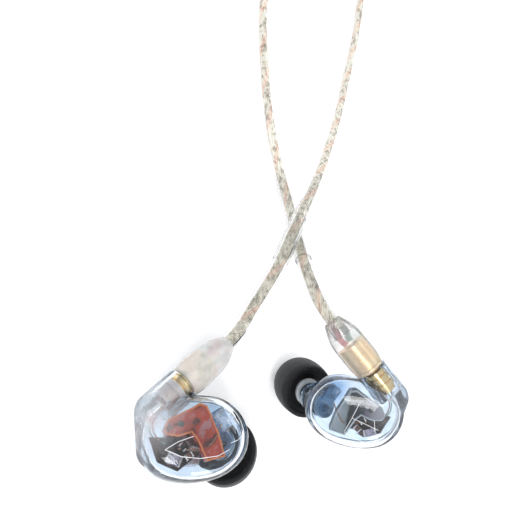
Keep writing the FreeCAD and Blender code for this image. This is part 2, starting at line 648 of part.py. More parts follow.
def make_coils(model, cords):
    """Two coils of the length put away, and the strap that ties each."""
    coils = (
        ("side_coil", SIDE_COIL_CENTRE, -60),
        ("main_coil", MAIN_COIL_CENTRE, -120),
    )
    bands = []
    for label, centre, heading in coils:
        inner, outer, rise = label + "_inner", label + "_outer", label + "_rise"
        blank = coil_blank(model, label + "_ring", centre, inner, outer, rise)
        band = tie_band(model, centre, model.size(inner), model.size(outer), model.size(rise), heading)
        bands.append(model.shaped(label + "_band", band, keep=False))
        model.doc.recompute()
        shape = blank.Shape.cut(band)
        for cord in cords[label]:
            shape = shape.cut(cord)
        model.shaped(label, largest(shape))
    model.group("coil_ties", bands)


def make_slider(model):
    """The chin slider, on the straight stretch where the side cords run together."""
    long, wide, thick = (model.size("slider_" + word) for word in ("long", "wide", "thick"))
    height = RIGHT_ROUTE[-2][2]
    middle = (RIGHT_ROUTE[-2][1] + LEFT_ROUTE[-2][1]) / 2
    body = Part.makeBox(long, wide, thick, Vector(SLIDER_START, middle - wide / 2, height - thick / 2))
    body = body.makeFillet(1.2, [edge for edge in body.Edges if edge.Length > long - 0.1])
    for route in (RIGHT_ROUTE, LEFT_ROUTE):
        hole = rod(Vector(0, route[-2][1], height), Vector(-1, 0, 0), -5, 30, model.size("slider_bore"))
        body = body.cut(hole)
    model.shaped("chin_slider", body)


def make_split(model):
    """The moulded Y-split, narrowing from the two side cords to the main cord."""
    long, wide, thick = (model.size("split_" + word) for word in ("long", "wide", "thick"))
    narrow = 2 * model.size("main_radius") + 2.2
    x, y, z = SPLIT_START
    wires = []
    for depth, width, height in ((0, wide, thick), (long * 0.45, wide, thick), (long, narrow, narrow)):
        corners = [Vector(x + a * width / 2, y - depth, z + b * height / 2)
                   for a, b in ((-1, -1), (1, -1), (1, 1), (-1, 1))]
        wires.append(Part.makePolygon(corners + corners[:1]))
    body = Part.makeLoft(wires, True, True)
    body = body.makeFillet(0.9, [edge for edge in body.Edges if abs(edge.tangentAt(0).y) > 0.5])
    model.shaped("y_split", body)


def make_main_cord(model):
    """The main cord outside its coil: from the Y-split, and on to the plug."""
    radius = model.size("main_radius")
    lead = tube(path_edges(MAIN_LEAD, "main lead"), radius)
    tail = tube(path_edges(MAIN_TAIL, "main tail"), radius)
    model.shaped("main_cord", Part.makeCompound([lead, tail]))
    return lead, tail


def make_main_plug(model):
    """The 3.5 mm stereo plug: strain relief, grip, contacts and insulating bands."""
    start = Vector(*PLUG_START)
    place = Placement(start, Rotation(Vector(0, 0, 1), Vector(0, 1, 0)))
    relief, grip = model.size("jack_plug_relief"), model.size("jack_plug_grip")
    radius, band = model.size("jack_plug_radius"), model.size("jack_plug_band")

    def at(distance):
        return place.multiply(Placement(Vector(0, 0, distance), Rotation()))

    model.turned("plug_relief", at(0), [
        ("0", "0"), ("main_radius + 0.4", "0"), ("main_radius + 0.9", "jack_plug_relief"),
        ("0", "jack_plug_relief"),
    ])
    model.turned("plug_grip", at(relief), [
        ("0", "0"), ("jack_plug_body - 0.5", "0"), ("jack_plug_body", "0.6"),
        ("jack_plug_body", "jack_plug_grip - 0.6"),
        ("jack_plug_body - 0.6", "jack_plug_grip"), ("0", "jack_plug_grip"),
    ])
    stations = (("plug_sleeve_contact", 6.2), ("plug_ring_contact", 2.6))
    distance = relief + grip
    bands = []
    for label, length in stations:
        cylinder = model.doc.addObject("Part::Cylinder", label)
        cylinder.setExpression("Radius", bound("jack_plug_radius"))
        cylinder.Height = length
        cylinder.Placement = at(distance)
        model.keep(cylinder, label)
        distance += length
        spacer = model.doc.addObject("Part::Cylinder", "band")
        spacer.setExpression("Radius", bound("jack_plug_radius"))
        spacer.Height = band
        spacer.Placement = at(distance)
        bands.append(spacer)
        distance += band
    model.group("plug_insulating_bands", bands)
    model.turned("plug_tip_contact", at(distance), [
        ("0", "0"), ("jack_plug_radius", "0"), ("jack_plug_radius", "0.7"), ("jack_plug_radius - 0.5", "1.5"),
        ("jack_plug_radius", "2.6"), ("0.5", "4.2"), ("0", "4.2"),
    ])


def make_model():
    model = Model()
    for name, ear in EARPIECES.items():
        make_shell(model, name, ear)
        make_drivers(model, name, ear)
        make_nozzle(model, name, ear)
        make_tip(model, name, ear)
        make_jack(model, name, ear)
        make_plug(model, name, ear)
        make_boot(model, name, ear)
    right = make_side_cord(model, "right", RIGHT_ROUTE)
    left = make_side_cord(model, "left", LEFT_ROUTE)
    main = make_main_cord(model)
    make_coils(model, {"side_coil": [*right, *left], "main_coil": list(main)})
    make_slider(model)
    make_split(model)
    make_main_plug(model)
    model.doc.recompute()
    return model


def check(model):
    """Stop if any object failed or any sub-part's shape is not a valid solid."""
    for thing in model.doc.Objects:
        if "Invalid" in thing.State or "Error" in thing.State:
            raise RuntimeError("%s failed: %s" % (thing.Label, thing.State))
    for piece in model.pieces:
        shape = piece.Shape
        if shape.isNull() or not shape.isValid() or not shape.Solids:
            raise RuntimeError("%s has no valid solid" % piece.Label)


def write(model):
    os.makedirs("parts", exist_ok=True)
    for piece in model.pieces:
        piece.Shape.exportStep("parts/%s.step" % piece.Label)
    print("%d sub-parts written" % len(model.pieces))


model = make_model()
check(model)
write(model)
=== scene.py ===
import json
import math

import bmesh
import bpy
from bpy.props import FloatProperty, FloatVectorProperty, IntProperty, PointerProperty
from mathutils import Matrix, Vector
from mathutils.bvhtree import BVHTree


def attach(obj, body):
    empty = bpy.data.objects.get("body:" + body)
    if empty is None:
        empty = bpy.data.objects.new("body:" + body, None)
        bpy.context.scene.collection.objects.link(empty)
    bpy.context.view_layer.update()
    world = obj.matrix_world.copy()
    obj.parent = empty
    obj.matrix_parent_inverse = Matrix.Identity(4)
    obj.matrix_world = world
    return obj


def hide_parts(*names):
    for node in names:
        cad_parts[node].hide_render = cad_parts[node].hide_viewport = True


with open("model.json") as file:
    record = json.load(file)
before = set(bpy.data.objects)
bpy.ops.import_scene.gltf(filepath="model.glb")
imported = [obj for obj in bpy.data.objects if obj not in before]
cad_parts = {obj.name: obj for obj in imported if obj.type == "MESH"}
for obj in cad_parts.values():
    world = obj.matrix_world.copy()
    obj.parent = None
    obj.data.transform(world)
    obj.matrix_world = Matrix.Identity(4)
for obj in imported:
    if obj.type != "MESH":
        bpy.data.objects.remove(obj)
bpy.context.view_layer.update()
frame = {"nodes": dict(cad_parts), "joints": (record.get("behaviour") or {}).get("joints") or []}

bl_info = {
    "name": "In ear monitors",
    "version": (1, 0, 0),
    "blender": (4, 5, 0),
    "location": "View3D > Sidebar > Monitors",
    "description": "Clear in ear monitors with foam tips and twisted cords",
    "category": "Object",
}

MM = 0.001

# The angles of the connector and of the nozzle in an earpiece's own frame, whose
# Z axis points out of the face cover, and the connector's mouth in that frame.
SOCKET_ANGLE = math.radians(40)
NOZZLE_ANGLE = math.radians(24)
SOCKET_MOUTH = (-1.4 * MM, 9.0 * MM)
NOZZLE_FOOT = (5.7, -1.7, 0)
TIP_START = 10.4 * MM
BOOT_END = 13.4
SIDES = {"right": 1, "left": -1}

# Where the shells are cloudy and tinted, and the left carrier's bands, in that frame
# in millimetres, and how far the gold of the right jack's rim reaches.
HAZE_MIDDLE, HAZE_REACH = (-7.2, 3.6, 1.0), 8.0
STAIN_MIDDLE, STAIN_REACH = (5.2, 1.2, -1.6), 6.6
BAND_SPAN = (4.6, -5.4)
RIM_REACH = 3.4
PLASTIC_IOR = 1.46

# How far apart a Wave texture's bands are at a scale of 1.
WAVE_PERIOD = 0.314

# The cords' routes in millimetres, from inside each boot to the side coil.
RIGHT_ROUTE = (
    (-9.07, 15.08, 13.07), (-2.65, 18.71, 11.70), (2.0, 24.7, 11.8), (5.4, 28.8, 12.4),
    (9.2, 34.1, 13.4), (12.0, 39.9, 14.8), (16.1, 46.2, 14.8), (21.5, 52.7, 12.9),
    (29.4, 62.1, 9.6), (38.1, 74.2, 6.2), (44.7, 84.6, 4.0), (51.2, 97.3, 2.4),
    (57.6, 111.5, 1.5), (63.1, 124.6, 1.3), (68.4, 140.9, 1.3), (71.2, 152.8, 1.3),
    (68.2, 164.3, 1.3), (58.7, 171.3, 1.5), (46.7, 173.1, 3.0), (32.7, 172.4, 5.6),
    (18.7, 171.4, 5.4), (4.7, 171.8, 2.3), (-26.8, 171.8, 2.3), (-36.5, 171.7, 1.6),
)
LEFT_ROUTE = (
    (15.24, 16.64, 26.22), (11.57, 22.90, 24.30), (13.0, 28.4, 20.4), (14.6, 33.4, 16.6),
    (16.5, 38.3, 13.0), (18.3, 44.0, 9.4), (19.6, 50.0, 6.7), (20.1, 55.9, 4.6),
    (19.9, 63.0, 3.0), (19.6, 70.5, 2.0), (19.2, 78.6, 1.5), (19.0, 86.7, 1.3),
    (19.2, 96.8, 1.3), (19.7, 107.1, 1.3), (20.9, 120.9, 1.3), (25.2, 133.3, 1.3),
    (29.7, 145.8, 1.3), (30.2, 158.8, 1.3), (25.7, 170.0, 1.3), (15.7, 174.6, 1.5),
    (4.2, 175.0, 2.3), (-26.8, 175.0, 2.3), (-35.9, 174.9, 2.1),
)
ROUTES = {"right": RIGHT_ROUTE, "left": LEFT_ROUTE}
SIDE_COIL = {"centre": (-38.3, 158.4), "radius": {"right": 13.4, "left": 16.6}, "turns": 2.25}
SIDE_TAIL = {
    "right": ((-51.7, 151.0, 4.8), (-51.9, 143.8, 2.6)),
    "left": ((-55.0, 151.0, 4.8), (-54.7, 143.8, 2.6)),
}
MAIN_LEAD = ((-53.3, 125.8, 2.5), (-53.4, 120.8, 1.8), (-53.5, 116.0, 1.4))
MAIN_COIL = {"centre": (-71.0, 112.8), "columns": (17.7, 15.0, 12.3), "turns": 11.5}
MAIN_TAIL = ((-88.8, 122.3, 7.6), (-88.7, 130.3, 4.9), (-88.3, 137.8, 3.3))
CORD_DIAMETER = 2.6
COIL_POINTS = 16

# Along a side cord, in metres: the pitch of the points that pieces on it follow, the end
# of its formable tube, and the stretch under its sleeve.
STEP = 0.0009
WIRE_END = {"right": 0.0408, "left": 0.0385}
SLEEVE_SPAN = {"right": (0.0274, 0.0585), "left": (0.0222, 0.054)}

CAMERA_PLACE = (-0.0423, 0.0218, 0.0872)
CAMERA_RIGHT = (0.8444, -0.0884, 0.5284)
CAMERA_UP = (0.0, 0.9863, 0.1650)
CAMERA_LENS = 25.49


# ------------------------------------------------------------ what a user changes

def colour(name, description, default):
    """A colour that a user can change."""
    return FloatVectorProperty(
        name=name, description=description, subtype="COLOR", size=3, min=0, max=1, default=default)


class MonitorLooks(bpy.types.PropertyGroup):
    """Sizes and colours of the monitors' finishes."""

    shell_tint: colour("Shell tint", "Colour of the clear face covers", (0.85, 0.895, 0.94))
    inner_tint: colour("Inner shell tint", "Colour of the shell on the ear side", (0.72, 0.83, 0.94))
    right_colour: colour("Right carrier", "Colour that marks the right earpiece", (0.64, 0.052, 0.013))
    left_colour: colour("Left carrier", "Colour of the left driver carrier", (0.17, 0.19, 0.24))
    foam_colour: colour("Foam", "Colour of the foam ear tips", (0.006, 0.0066, 0.008))
    gold_colour: colour("Gold", "Colour of the plated contacts", (0.93, 0.70, 0.36))
    foam_cell: FloatProperty(
        name="Foam cell", description="Size of a cell of the foam",
        unit="LENGTH", precision=6, min=0.00005, max=0.001, default=0.00016)


class CordLooks(bpy.types.PropertyGroup):
    """Sizes and colours of the cords."""

    jacket_tint: colour("Jacket tint", "Colour of the clear jacket", (0.96, 0.96, 0.95))
    silver_colour: colour("Silver strands", "Colour of the plated strands", (0.84, 0.79, 0.69))
    copper_colour: colour("Copper strands", "Colour of the bare copper strands", (0.86, 0.66, 0.57))
    strand_count: IntProperty(
        name="Strands", description="Strands twisted together inside a cord",
        min=3, max=12, default=7)
    twist_length: FloatProperty(
        name="Twist length", description="Length of cord in which a strand goes round once",
        unit="LENGTH", precision=4, min=0.003, max=0.05, default=0.0125)


class StageLooks(bpy.types.PropertyGroup):
    """The floor and the light."""

    floor_colour: colour("Floor", "Colour of the pale floor", (0.93, 0.93, 0.935))
    floor_glow: FloatProperty(
        name="Floor glow", description="How much the floor shines by itself, as a light table does",
        min=0, max=2, default=0.32)
    sky_light: FloatProperty(
        name="Sky light", description="Brightness of the light from all round",
        min=0, max=5, default=0.86)


# ------------------------------------------------------------------- finishes

class Level:
    """A number that changes over a surface; sums on it add Math nodes."""

    def __init__(self, finish, socket):
        self.finish = finish
        self.socket = socket

    def _sum(self, operation, *values):
        node = self.finish.node("ShaderNodeMath", {"operation": operation}, dict(enumerate(values)))
        return Level(self.finish, node.outputs[0])

    def __add__(self, other):
        return self._sum("ADD", self, other)

    def __radd__(self, other):
        return self._sum("ADD", other, self)

    def __sub__(self, other):
        return self._sum("SUBTRACT", self, other)

    def __rsub__(self, other):
        return self._sum("SUBTRACT", other, self)

    def __mul__(self, other):
        return self._sum("MULTIPLY", self, other)

    def __rmul__(self, other):
        return self._sum("MULTIPLY", other, self)


class Finish:
    """A new material with one Principled shader, and short ways to build on it."""

    def __init__(self, name, colour, roughness, **constants):
        self.material = bpy.data.materials.new(name)
        self.material.use_nodes = True
        self.tree = self.material.node_tree
        self.shader = self.tree.nodes["Principled BSDF"]
        self.set("Base Color", (*colour, 1.0))
        self.set("Roughness", roughness)
        for socket, value in constants.items():
            self.set(socket.replace("_", " "), value)

    def node(self, kind, settings=None, inputs=None):
        """A node of one kind: its settings first, then its sockets' values or links."""
        node = self.tree.nodes.new(kind)
        for name, value in (settings or {}).items():
            if name == "stops":
                self.set_stops(node.color_ramp, value)
            else:
                setattr(node, name, value)
        for key, value in (inputs or {}).items():
            self.feed(node.inputs[key], value)
        return node

    def feed(self, socket, value):
        """Link a socket to what feeds it, or give it its value."""
        if isinstance(value, Level):
            value = value.socket
        if isinstance(value, bpy.types.NodeSocket):
            self.tree.links.new(value, socket)
        else:
            socket.default_value = value

    def set_stops(self, ramp, stops):
        while len(ramp.elements) < len(stops):
            ramp.elements.new(1.0)
        for element, (place, colour) in zip(ramp.elements, stops):
            element.position = place
            element.color = (*colour, 1.0)

    def set(self, socket, value):
        self.feed(self.shader.inputs[socket], value)

    def place(self, kind="Object", scale=(1, 1, 1)):
        """Coordinates on the piece, in metres for Object and along the piece for UV."""
        points = self.node("ShaderNodeTexCoord").outputs[kind]
        return self.node("ShaderNodeMapping", None, {"Vector": points, "Scale": scale}).outputs[0]

    def noise(self, size, detail=3.0, roughness=0.5, stretch=(1, 1, 1)):
        """Cloudy variation from 0 to 1 whose blotches are about this size in metres."""
        node = self.node("ShaderNodeTexNoise", None, {
            "Vector": self.place(scale=stretch), "Scale": 1 / size, "Detail": detail,
            "Roughness": roughness})
        return Level(self, node.outputs["Fac"])

    def cells(self, size):
        """Distance from the middle of a cell of about this size."""
        node = self.node("ShaderNodeTexVoronoi", None, {"Vector": self.place(), "Scale": 1 / size})
        return Level(self, node.outputs["Distance"])

    def bands(self, size, vector, distortion=0.0, direction="X"):
        """Even bands of about this size."""
        node = self.node("ShaderNodeTexWave", {"bands_direction": direction}, {
            "Vector": vector, "Scale": WAVE_PERIOD / size, "Distortion": distortion})
        return Level(self, node.outputs["Fac"])

    def ramp(self, level, *stops):
        """A colour for each level between stops of (level, colour)."""
        return self.node("ShaderNodeValToRGB", {"stops": stops}, {"Fac": level}).outputs[0]

    def blend(self, level, first, second):
        """The first colour at 0 and the second at 1."""
        node = self.node("ShaderNodeMix", {"data_type": "RGBA"}, {
            0: level, 6: as_colour(first), 7: as_colour(second)})
        return node.outputs[2]

    def away_from(self, start):
        """How far and in which direction a point lies from a start."""
        points = self.node("ShaderNodeTexCoord").outputs["Object"]
        node = self.node("ShaderNodeVectorMath", {"operation": "SUBTRACT"}, {0: points, 1: start})
        return node.outputs[0]

    def colour_by(self, level, *stops):
        """The base colour from stops of (level, colour)."""
        self.set("Base Color", self.ramp(level, *stops))

    def vary(self, level, colour, dark, light):
        """The base colour, from its darker to its lighter shade."""
        self.set("Base Color", self.blend(level, shade(colour, dark), shade(colour, light)))

    def ball(self, centre, radius):
        """1 in the middle of a ball and 0 outside it."""
        settings = {"Vector": self.away_from(centre), "Scale": (1 / radius,) * 3}
        inside = self.node("ShaderNodeMapping", None, settings).outputs[0]
        gradient = self.node("ShaderNodeTexGradient", {"gradient_type": "SPHERICAL"}, {"Vector": inside})
        return Level(self, gradient.outputs["Fac"])

    def slope(self, start, way, length):
        """0 at a start and 1 a length further along a direction."""
        dot = self.node("ShaderNodeVectorMath", {"operation": "DOT_PRODUCT"}, {
            0: self.away_from(start), 1: way / length})
        return Level(self, dot.outputs["Value"])

    def veil(self, level, colour, roughness, clearness):
        """A cloudier plastic that takes over where the level is 1."""
        cloudy = self.node("ShaderNodeBsdfPrincipled", None, {
            "Base Color": colour, "Roughness": roughness, "IOR": PLASTIC_IOR,
            "Transmission Weight": clearness})
        mixed = self.node("ShaderNodeMixShader", None, {
            0: level, 1: self.shader.outputs[0], 2: cloudy.outputs[0]})
        self.tree.links.new(mixed.outputs[0], self.tree.nodes["Material Output"].inputs[0])

    def relief(self, level, depth):
        """Bumps of this depth in metres."""
        node = self.node("ShaderNodeBump", None, {"Height": level, "Distance": depth})
        self.set("Normal", node.outputs[0])


def as_colour(value):
    return value if isinstance(value, bpy.types.NodeSocket) else (*value[:3], 1.0)


def shade(colour, factor):
    """A colour made darker or lighter."""
    return tuple(min(1.0, channel * factor) for channel in colour[:3])


def clear_plastic(name, tint, roughness=0.02, ior=PLASTIC_IOR, clearness=1.0):
    """Polished clear plastic with the faint ripple and haze of a moulding."""
    finish = Finish(name, tint, roughness, IOR=ior, Transmission_Weight=clearness)
    haze = finish.noise(0.004, 2.0)
    finish.vary(haze, tint, 0.97, 1.02)
    finish.set("Roughness", haze * 0.02 + roughness)
    finish.relief(finish.noise(0.0035, 1.0), 0.00006)
    return finish.material


def hazed_shell(name, tint, ear, haze, stain=None):
    """Clear shell plastic that is cloudy round the connector, with faint streaks elsewhere."""
    finish = Finish(name, tint, 0.02, IOR=1.42, Transmission_Weight=1.0, Specular_IOR_Level=0.4)
    streak = finish.noise(0.0042, 3.0, 0.6, stretch=(1.0, 0.55, 1.0))
    wash = finish.ramp(
        streak, (0.34, shade(tint, 0.90)), (0.5, tint), (0.62, shade(tint, 1.04)))
    if stain:
        reach = finish.ball(ear.at(*STAIN_MIDDLE), STAIN_REACH * MM)
        wash = finish.blend(reach * 2.2 + (streak - 0.5) * 1.4, wash, stain)
    finish.set("Base Color", wash)
    finish.set("Roughness", streak * 0.03)
    finish.relief(finish.noise(0.0035, 1.0), 0.00006)
    near = finish.ball(ear.at(*HAZE_MIDDLE), HAZE_REACH * MM)
    wisps = finish.noise(0.0022, 4.0, 0.65, stretch=(1.0, 0.5, 1.0))
    level = near * wisps * (2.2 * haze) + (wisps - 0.56) * (0.5 * haze)
    blush = finish.noise(0.0034, 2.0, 0.5)
    milk = finish.ramp(
        blush, (0.40, (0.93, 0.96, 0.99)), (0.52, (0.98, 0.97, 0.97)), (0.62, (0.98, 0.84, 0.82)))
    finish.veil(level, milk, 0.25, 0.6)
    return finish.material


def milky_plastic(name, tint, clearness):
    """Soft, slightly cloudy plastic that light goes through, with grey-green clouds of painted shade."""
    finish = Finish(name, tint, 0.16, IOR=1.4, Transmission_Weight=clearness)
    cloud = finish.noise(0.0036, 4.0, 0.6)
    # Painted shade: the grey-green stop darkens clouds of the plastic as if shade fell inside it.
    finish.colour_by(
        cloud, (0.34, (0.70, 0.75, 0.74)), (0.5, tint), (0.66, (0.92, 0.83, 0.81)))
    finish.set("Roughness", cloud * 0.2 + 0.14)
    finish.relief(finish.noise(0.0026, 2.0), 0.00004)
    return finish.material


def coloured_carrier(name, colour, dull, clearness, dark=0.2):
    """Moulded plastic that lets a little light through, with dark clouds and duller patches."""
    finish = Finish(name, colour, 0.18, IOR=1.5, Transmission_Weight=clearness,
                    Coat_Weight=0.2, Coat_Roughness=0.06)
    cloud = finish.noise(0.0021, 4.0, 0.6)
    finish.colour_by(
        cloud, (0.38, shade(colour, dark)), (0.50, colour), (0.56, colour), (0.66, dull))
    finish.set("Roughness", cloud * 0.2 + 0.1)
    finish.relief(finish.noise(0.0009, 2.0), 0.00003)
    return finish.material


def banded_carrier(name, colour, ear):
    """Smoky moulded plastic that goes from clear grey through dark to a pale end; the purple-grey to pale end
    is a painted reflection.
    """
    finish = Finish(name, colour, 0.2, IOR=1.5, Transmission_Weight=0.25,
                    Specular_IOR_Level=0.3)
    start, end = (ear.at(x, 0, 0) for x in BAND_SPAN)
    wave = finish.noise(0.003, 3.0, 0.6)
    along = finish.slope(start, (end - start).normalized(), (end - start).length) + wave * 0.12
    # Painted reflection: the last two stops, from purple-grey to pale, paint a reflection across the
    # carrier's far end.
    finish.colour_by(
        along, (0.10, (0.52, 0.58, 0.60)), (0.28, (0.40, 0.46, 0.48)), (0.33, shade(colour, 0.12)),
        (0.60, shade(colour, 0.35)), (0.68, (0.22, 0.20, 0.26)), (0.95, (0.58, 0.56, 0.62)))
    finish.set("Roughness", wave * 0.3 + 0.25)
    finish.relief(wave, 0.00003)
    return finish.material


def satin_can(name, colour):
    """Drawn metal can with fine lines along it and soft handling marks."""
    finish = Finish(name, colour, 0.3, Metallic=1.0, Anisotropic=0.3)
    lines = finish.noise(0.0001, 2.0, 0.6, stretch=(1, 12, 12))
    marks = finish.noise(0.002, 4.0, 0.6)
    finish.colour_by(
        marks, (0.3, shade(colour, 0.62)), (0.55, colour), (0.75, (0.70, 0.60, 0.56)))
    finish.set("Roughness", lines * 0.14 + marks * 0.14 + 0.12)
    finish.relief(lines, 0.00001)
    return finish.material


def gold_plating(name, colour, dullness=0.07):
    """Gold plate over turned brass, with faint tool marks."""
    finish = Finish(name, colour, 0.16, Metallic=1.0)
    marks = finish.noise(0.0012, 4.0, 0.6)
    finish.vary(marks, colour, 0.86, 1.08)
    finish.set("Roughness", marks * 0.16 + dullness)
    finish.relief(finish.noise(0.0002, 2.0), 0.000004)
    return finish.material


def gold_rimmed(name, colour, pale, mouth):
    """A pale moulded barrel with a gold rim at its mouth."""
    finish = Finish(name, colour, 0.2)
    rim = finish.ball(mouth, RIM_REACH * MM)
    cloud = finish.noise(0.0014, 4.0, 0.6)
    edge = finish.ramp(rim, (0.205, (0.0,) * 3), (0.225, (1.0,) * 3))
    finish.set("Base Color", finish.blend(edge, finish.blend(cloud, shade(pale, 0.8), pale), colour))
    finish.set("Metallic", edge)
    finish.set("Roughness", cloud * 0.2 + 0.1)
    return finish.material


def spring_steel(name):
    """Polished spring wire."""
    finish = Finish(name, (0.66, 0.66, 0.67), 0.2, Metallic=1.0)
    grain = finish.noise(0.0003, 3.0)
    finish.set("Roughness", grain * 0.2 + 0.1)
    finish.set("Base Color", finish.blend(grain, (0.5, 0.5, 0.52), (0.75, 0.75, 0.76)))
    return finish.material


def moulded_plastic(name, colour, roughness=0.38):
    """Opaque moulded plastic with a fine satin grain."""
    finish = Finish(name, colour, roughness)
    grain = finish.noise(0.00025, 3.0, 0.6)
    cloud = finish.noise(0.003, 2.0)
    finish.vary(cloud, colour, 0.85, 1.1)
    finish.set("Roughness", grain * 0.18 + roughness * 0.8)
    finish.relief(grain, 0.00001)
    return finish.material


def solder_masked_board(name):
    """Dark board with copper tracks just showing under its lacquer."""
    finish = Finish(name, (0.05, 0.065, 0.085), 0.42, Coat_Weight=0.15, Coat_Roughness=0.12,
                    Specular_IOR_Level=0.25)
    tracks = finish.noise(0.0016, 2.0, 0.4)
    specks = finish.noise(0.0004, 3.0, 0.7)
    finish.colour_by(
        tracks * 0.7 + specks * 0.3, (0.38, (0.008, 0.008, 0.010)), (0.52, (0.035, 0.022, 0.020)),
        (0.64, (0.17, 0.11, 0.10)))
    finish.relief(tracks, 0.00002)
    return finish.material


def woven_mesh(name):
    """Fine woven acoustic mesh."""
    finish = Finish(name, (0.2, 0.2, 0.21), 0.5, Metallic=0.4)
    across = finish.bands(0.00016, finish.place())
    along = finish.bands(0.00016, finish.place(), direction="Y")
    weave = across * along
    finish.set("Base Color", finish.blend(weave, (0.05, 0.05, 0.055), (0.42, 0.42, 0.44)))
    finish.relief(weave, 0.00004)
    return finish.material


def fine_foam(name, colour, cell):
    """Slow-recovery foam: a dense skin of tiny cells that catches a soft light."""
    finish = Finish(name, colour, 0.62, Sheen_Weight=0.05, Sheen_Roughness=0.5,
                    Specular_IOR_Level=0.32)
    pores = finish.cells(cell)
    grain = finish.noise(cell * 2.5, 4.0, 0.7)
    soft = finish.noise(0.004, 2.0)
    finish.colour_by(
        grain * 0.7 + pores * 0.35 + soft * 0.1, (0.42, shade(colour, 0.55)), (0.6, colour),
        (0.82, shade(colour, 2.2)))
    finish.set("Roughness", grain * 0.22 + 0.42)
    finish.relief(pores * 0.5 + grain, 0.00009)
    return finish.material


def soft_grey(name, colour):
    """Matt soft plastic of the tip's core."""
    finish = Finish(name, colour, 0.42)
    cloud = finish.noise(0.0018, 3.0)
    finish.vary(cloud, colour, 0.86, 1.06)
    finish.relief(finish.noise(0.0003, 3.0), 0.000012)
    return finish.material


def twisted_strand(name, colour, dark, metal):
    """A bundle of hair-fine wires: UV runs along the strand and round it. Its darkest streaks are painted
    shade between the strands, its lightest are painted highlights, and its emission is a painted glow.
    """
    # The emission is a painted glow that lightens the strands inside the clear jacket.
    finish = Finish(name, colour, 0.34, Metallic=metal, Emission_Strength=0.32)
    streak = finish.noise(0.0008, 3.0, 0.65, stretch=(1.0, 0.45, 1.0))
    hairs = finish.bands(0.05, finish.place("UV"), 0.6, "DIAGONAL")
    patch = finish.noise(0.0022, 3.0, 0.6)
    # Painted light: the dark stop is painted shade between the strands and the stop above the colour a
    # painted highlight; between them is the strands' random tone.
    strand_tone_and_painted_light = finish.ramp(
        hairs * 0.12 + streak * 0.68 + patch * 0.2, (0.40, dark), (0.485, colour),
        (0.56, shade(colour, 1.35)))
    finish.set("Base Color", strand_tone_and_painted_light)
    finish.set("Emission Color", strand_tone_and_painted_light)
    finish.set("Roughness", streak * 0.2 + 0.22)
    finish.relief(hairs + streak, 0.00003)
    return finish.material


def enamelled_wire(name, colour):
    """Thin lacquered hook-up wire."""
    finish = Finish(name, colour, 0.25, Coat_Weight=0.5)
    patch = finish.noise(0.0012, 3.0)
    finish.vary(patch, colour, 0.75, 1.1)
    return finish.material


def hook_and_loop(name):
    """Dark hook-and-loop strap."""
    finish = Finish(name, (0.03, 0.03, 0.034), 0.8, Sheen_Weight=0.3)
    loops = finish.cells(0.00045)
    fuzz = finish.noise(0.0004, 4.0, 0.7)
    finish.set("Base Color", finish.blend(
        loops * 0.6 + fuzz * 0.5, (0.012, 0.012, 0.014), (0.085, 0.085, 0.095)))
    finish.relief(loops + fuzz, 0.00012)
    return finish.material


def etched_line(name):
    """White filled engraving, with a painted glow that keeps its lines bright."""
    # Painted glow: the white emission makes the lines shine though they are no lamp.
    finish = Finish(name, (0.95, 0.96, 0.97), 0.4, Emission_Strength=0.15)
    finish.set("Emission Color", (1.0, 1.0, 1.0, 1.0))
    grain = finish.noise(0.0004, 3.0)
    finish.set("Base Color", finish.blend(grain, (0.84, 0.88, 0.92), (1.0, 1.0, 1.0)))
    return finish.material


# ------------------------------------------------------------------ making pieces

def add_piece(name, data, finishes, body, replaces=()):
    """Put a finished mesh or curve in the scene, on its body."""
    piece = bpy.data.objects.new(name, data)
    bpy.context.scene.collection.objects.link(piece)
    for material in finishes:
        data.materials.append(material)
    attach(piece, body)
    if replaces:
        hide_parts(*replaces)
    return piece


def finish_nodes(material, *nodes):
    """Give CAD nodes a better material."""
    for node in nodes:
        mesh = frame["nodes"][node].data
        mesh.materials.clear()
        mesh.materials.append(material)


def finish_ear(name, finishes):
    """Give an earpiece's CAD nodes their materials, by the part of a node's name after the side."""
    for part, material in finishes.items():
        finish_nodes(material, name + "_" + part)


def to_mesh(name, shape, smooth=True):
    """A bmesh made into a mesh."""
    mesh = bpy.data.meshes.new(name)
    shape.to_mesh(mesh)
    shape.free()
    for polygon in mesh.polygons:
        polygon.use_smooth = smooth
    return mesh


def turned(name, place, profile, steps=64):
    """A closed shape turned about its Z axis from (radius, height) points, then placed."""
    shape = bmesh.new()
    corners = [shape.verts.new((radius, 0, height)) for radius, height in profile]
    edges = [shape.edges.new(pair) for pair in zip(corners, corners[1:])]
    bmesh.ops.spin(
        shape, geom=corners + edges, cent=(0, 0, 0), axis=(0, 0, 1),
        angle=math.tau, steps=steps, use_merge=True)
    bmesh.ops.remove_doubles(shape, verts=shape.verts, dist=1e-7)
    bmesh.ops.recalc_face_normals(shape, faces=shape.faces)
    bmesh.ops.transform(shape, matrix=place, verts=shape.verts)
    return to_mesh(name, shape)


def keep_corners(piece, angle=35):
    """Keep corners crisp on a smooth shaded piece."""
    shape = bmesh.new()
    shape.from_mesh(piece.data)
    limit = math.radians(angle)
    for edge in shape.edges:
        edge.smooth = len(edge.link_faces) != 2 or edge.calc_face_angle(0) < limit
    shape.to_mesh(piece.data)
    shape.free()


def route_curve(name, points, radius):
    """A cord: a smooth curve with the route's points as its control points."""
    curve = bpy.data.curves.new(name, "CURVE")
    curve.dimensions = "3D"
    curve.resolution_u = 6
    curve.bevel_depth = radius
    curve.bevel_resolution = 5
    curve.use_fill_caps = True
    spline = curve.splines.new("NURBS")
    spline.points.add(len(points) - 1)
    for point, place in zip(spline.points, points):
        point.co = (*(value * MM for value in place), 1.0)
    spline.order_u = 3
    spline.use_endpoint_u = True
    return curve


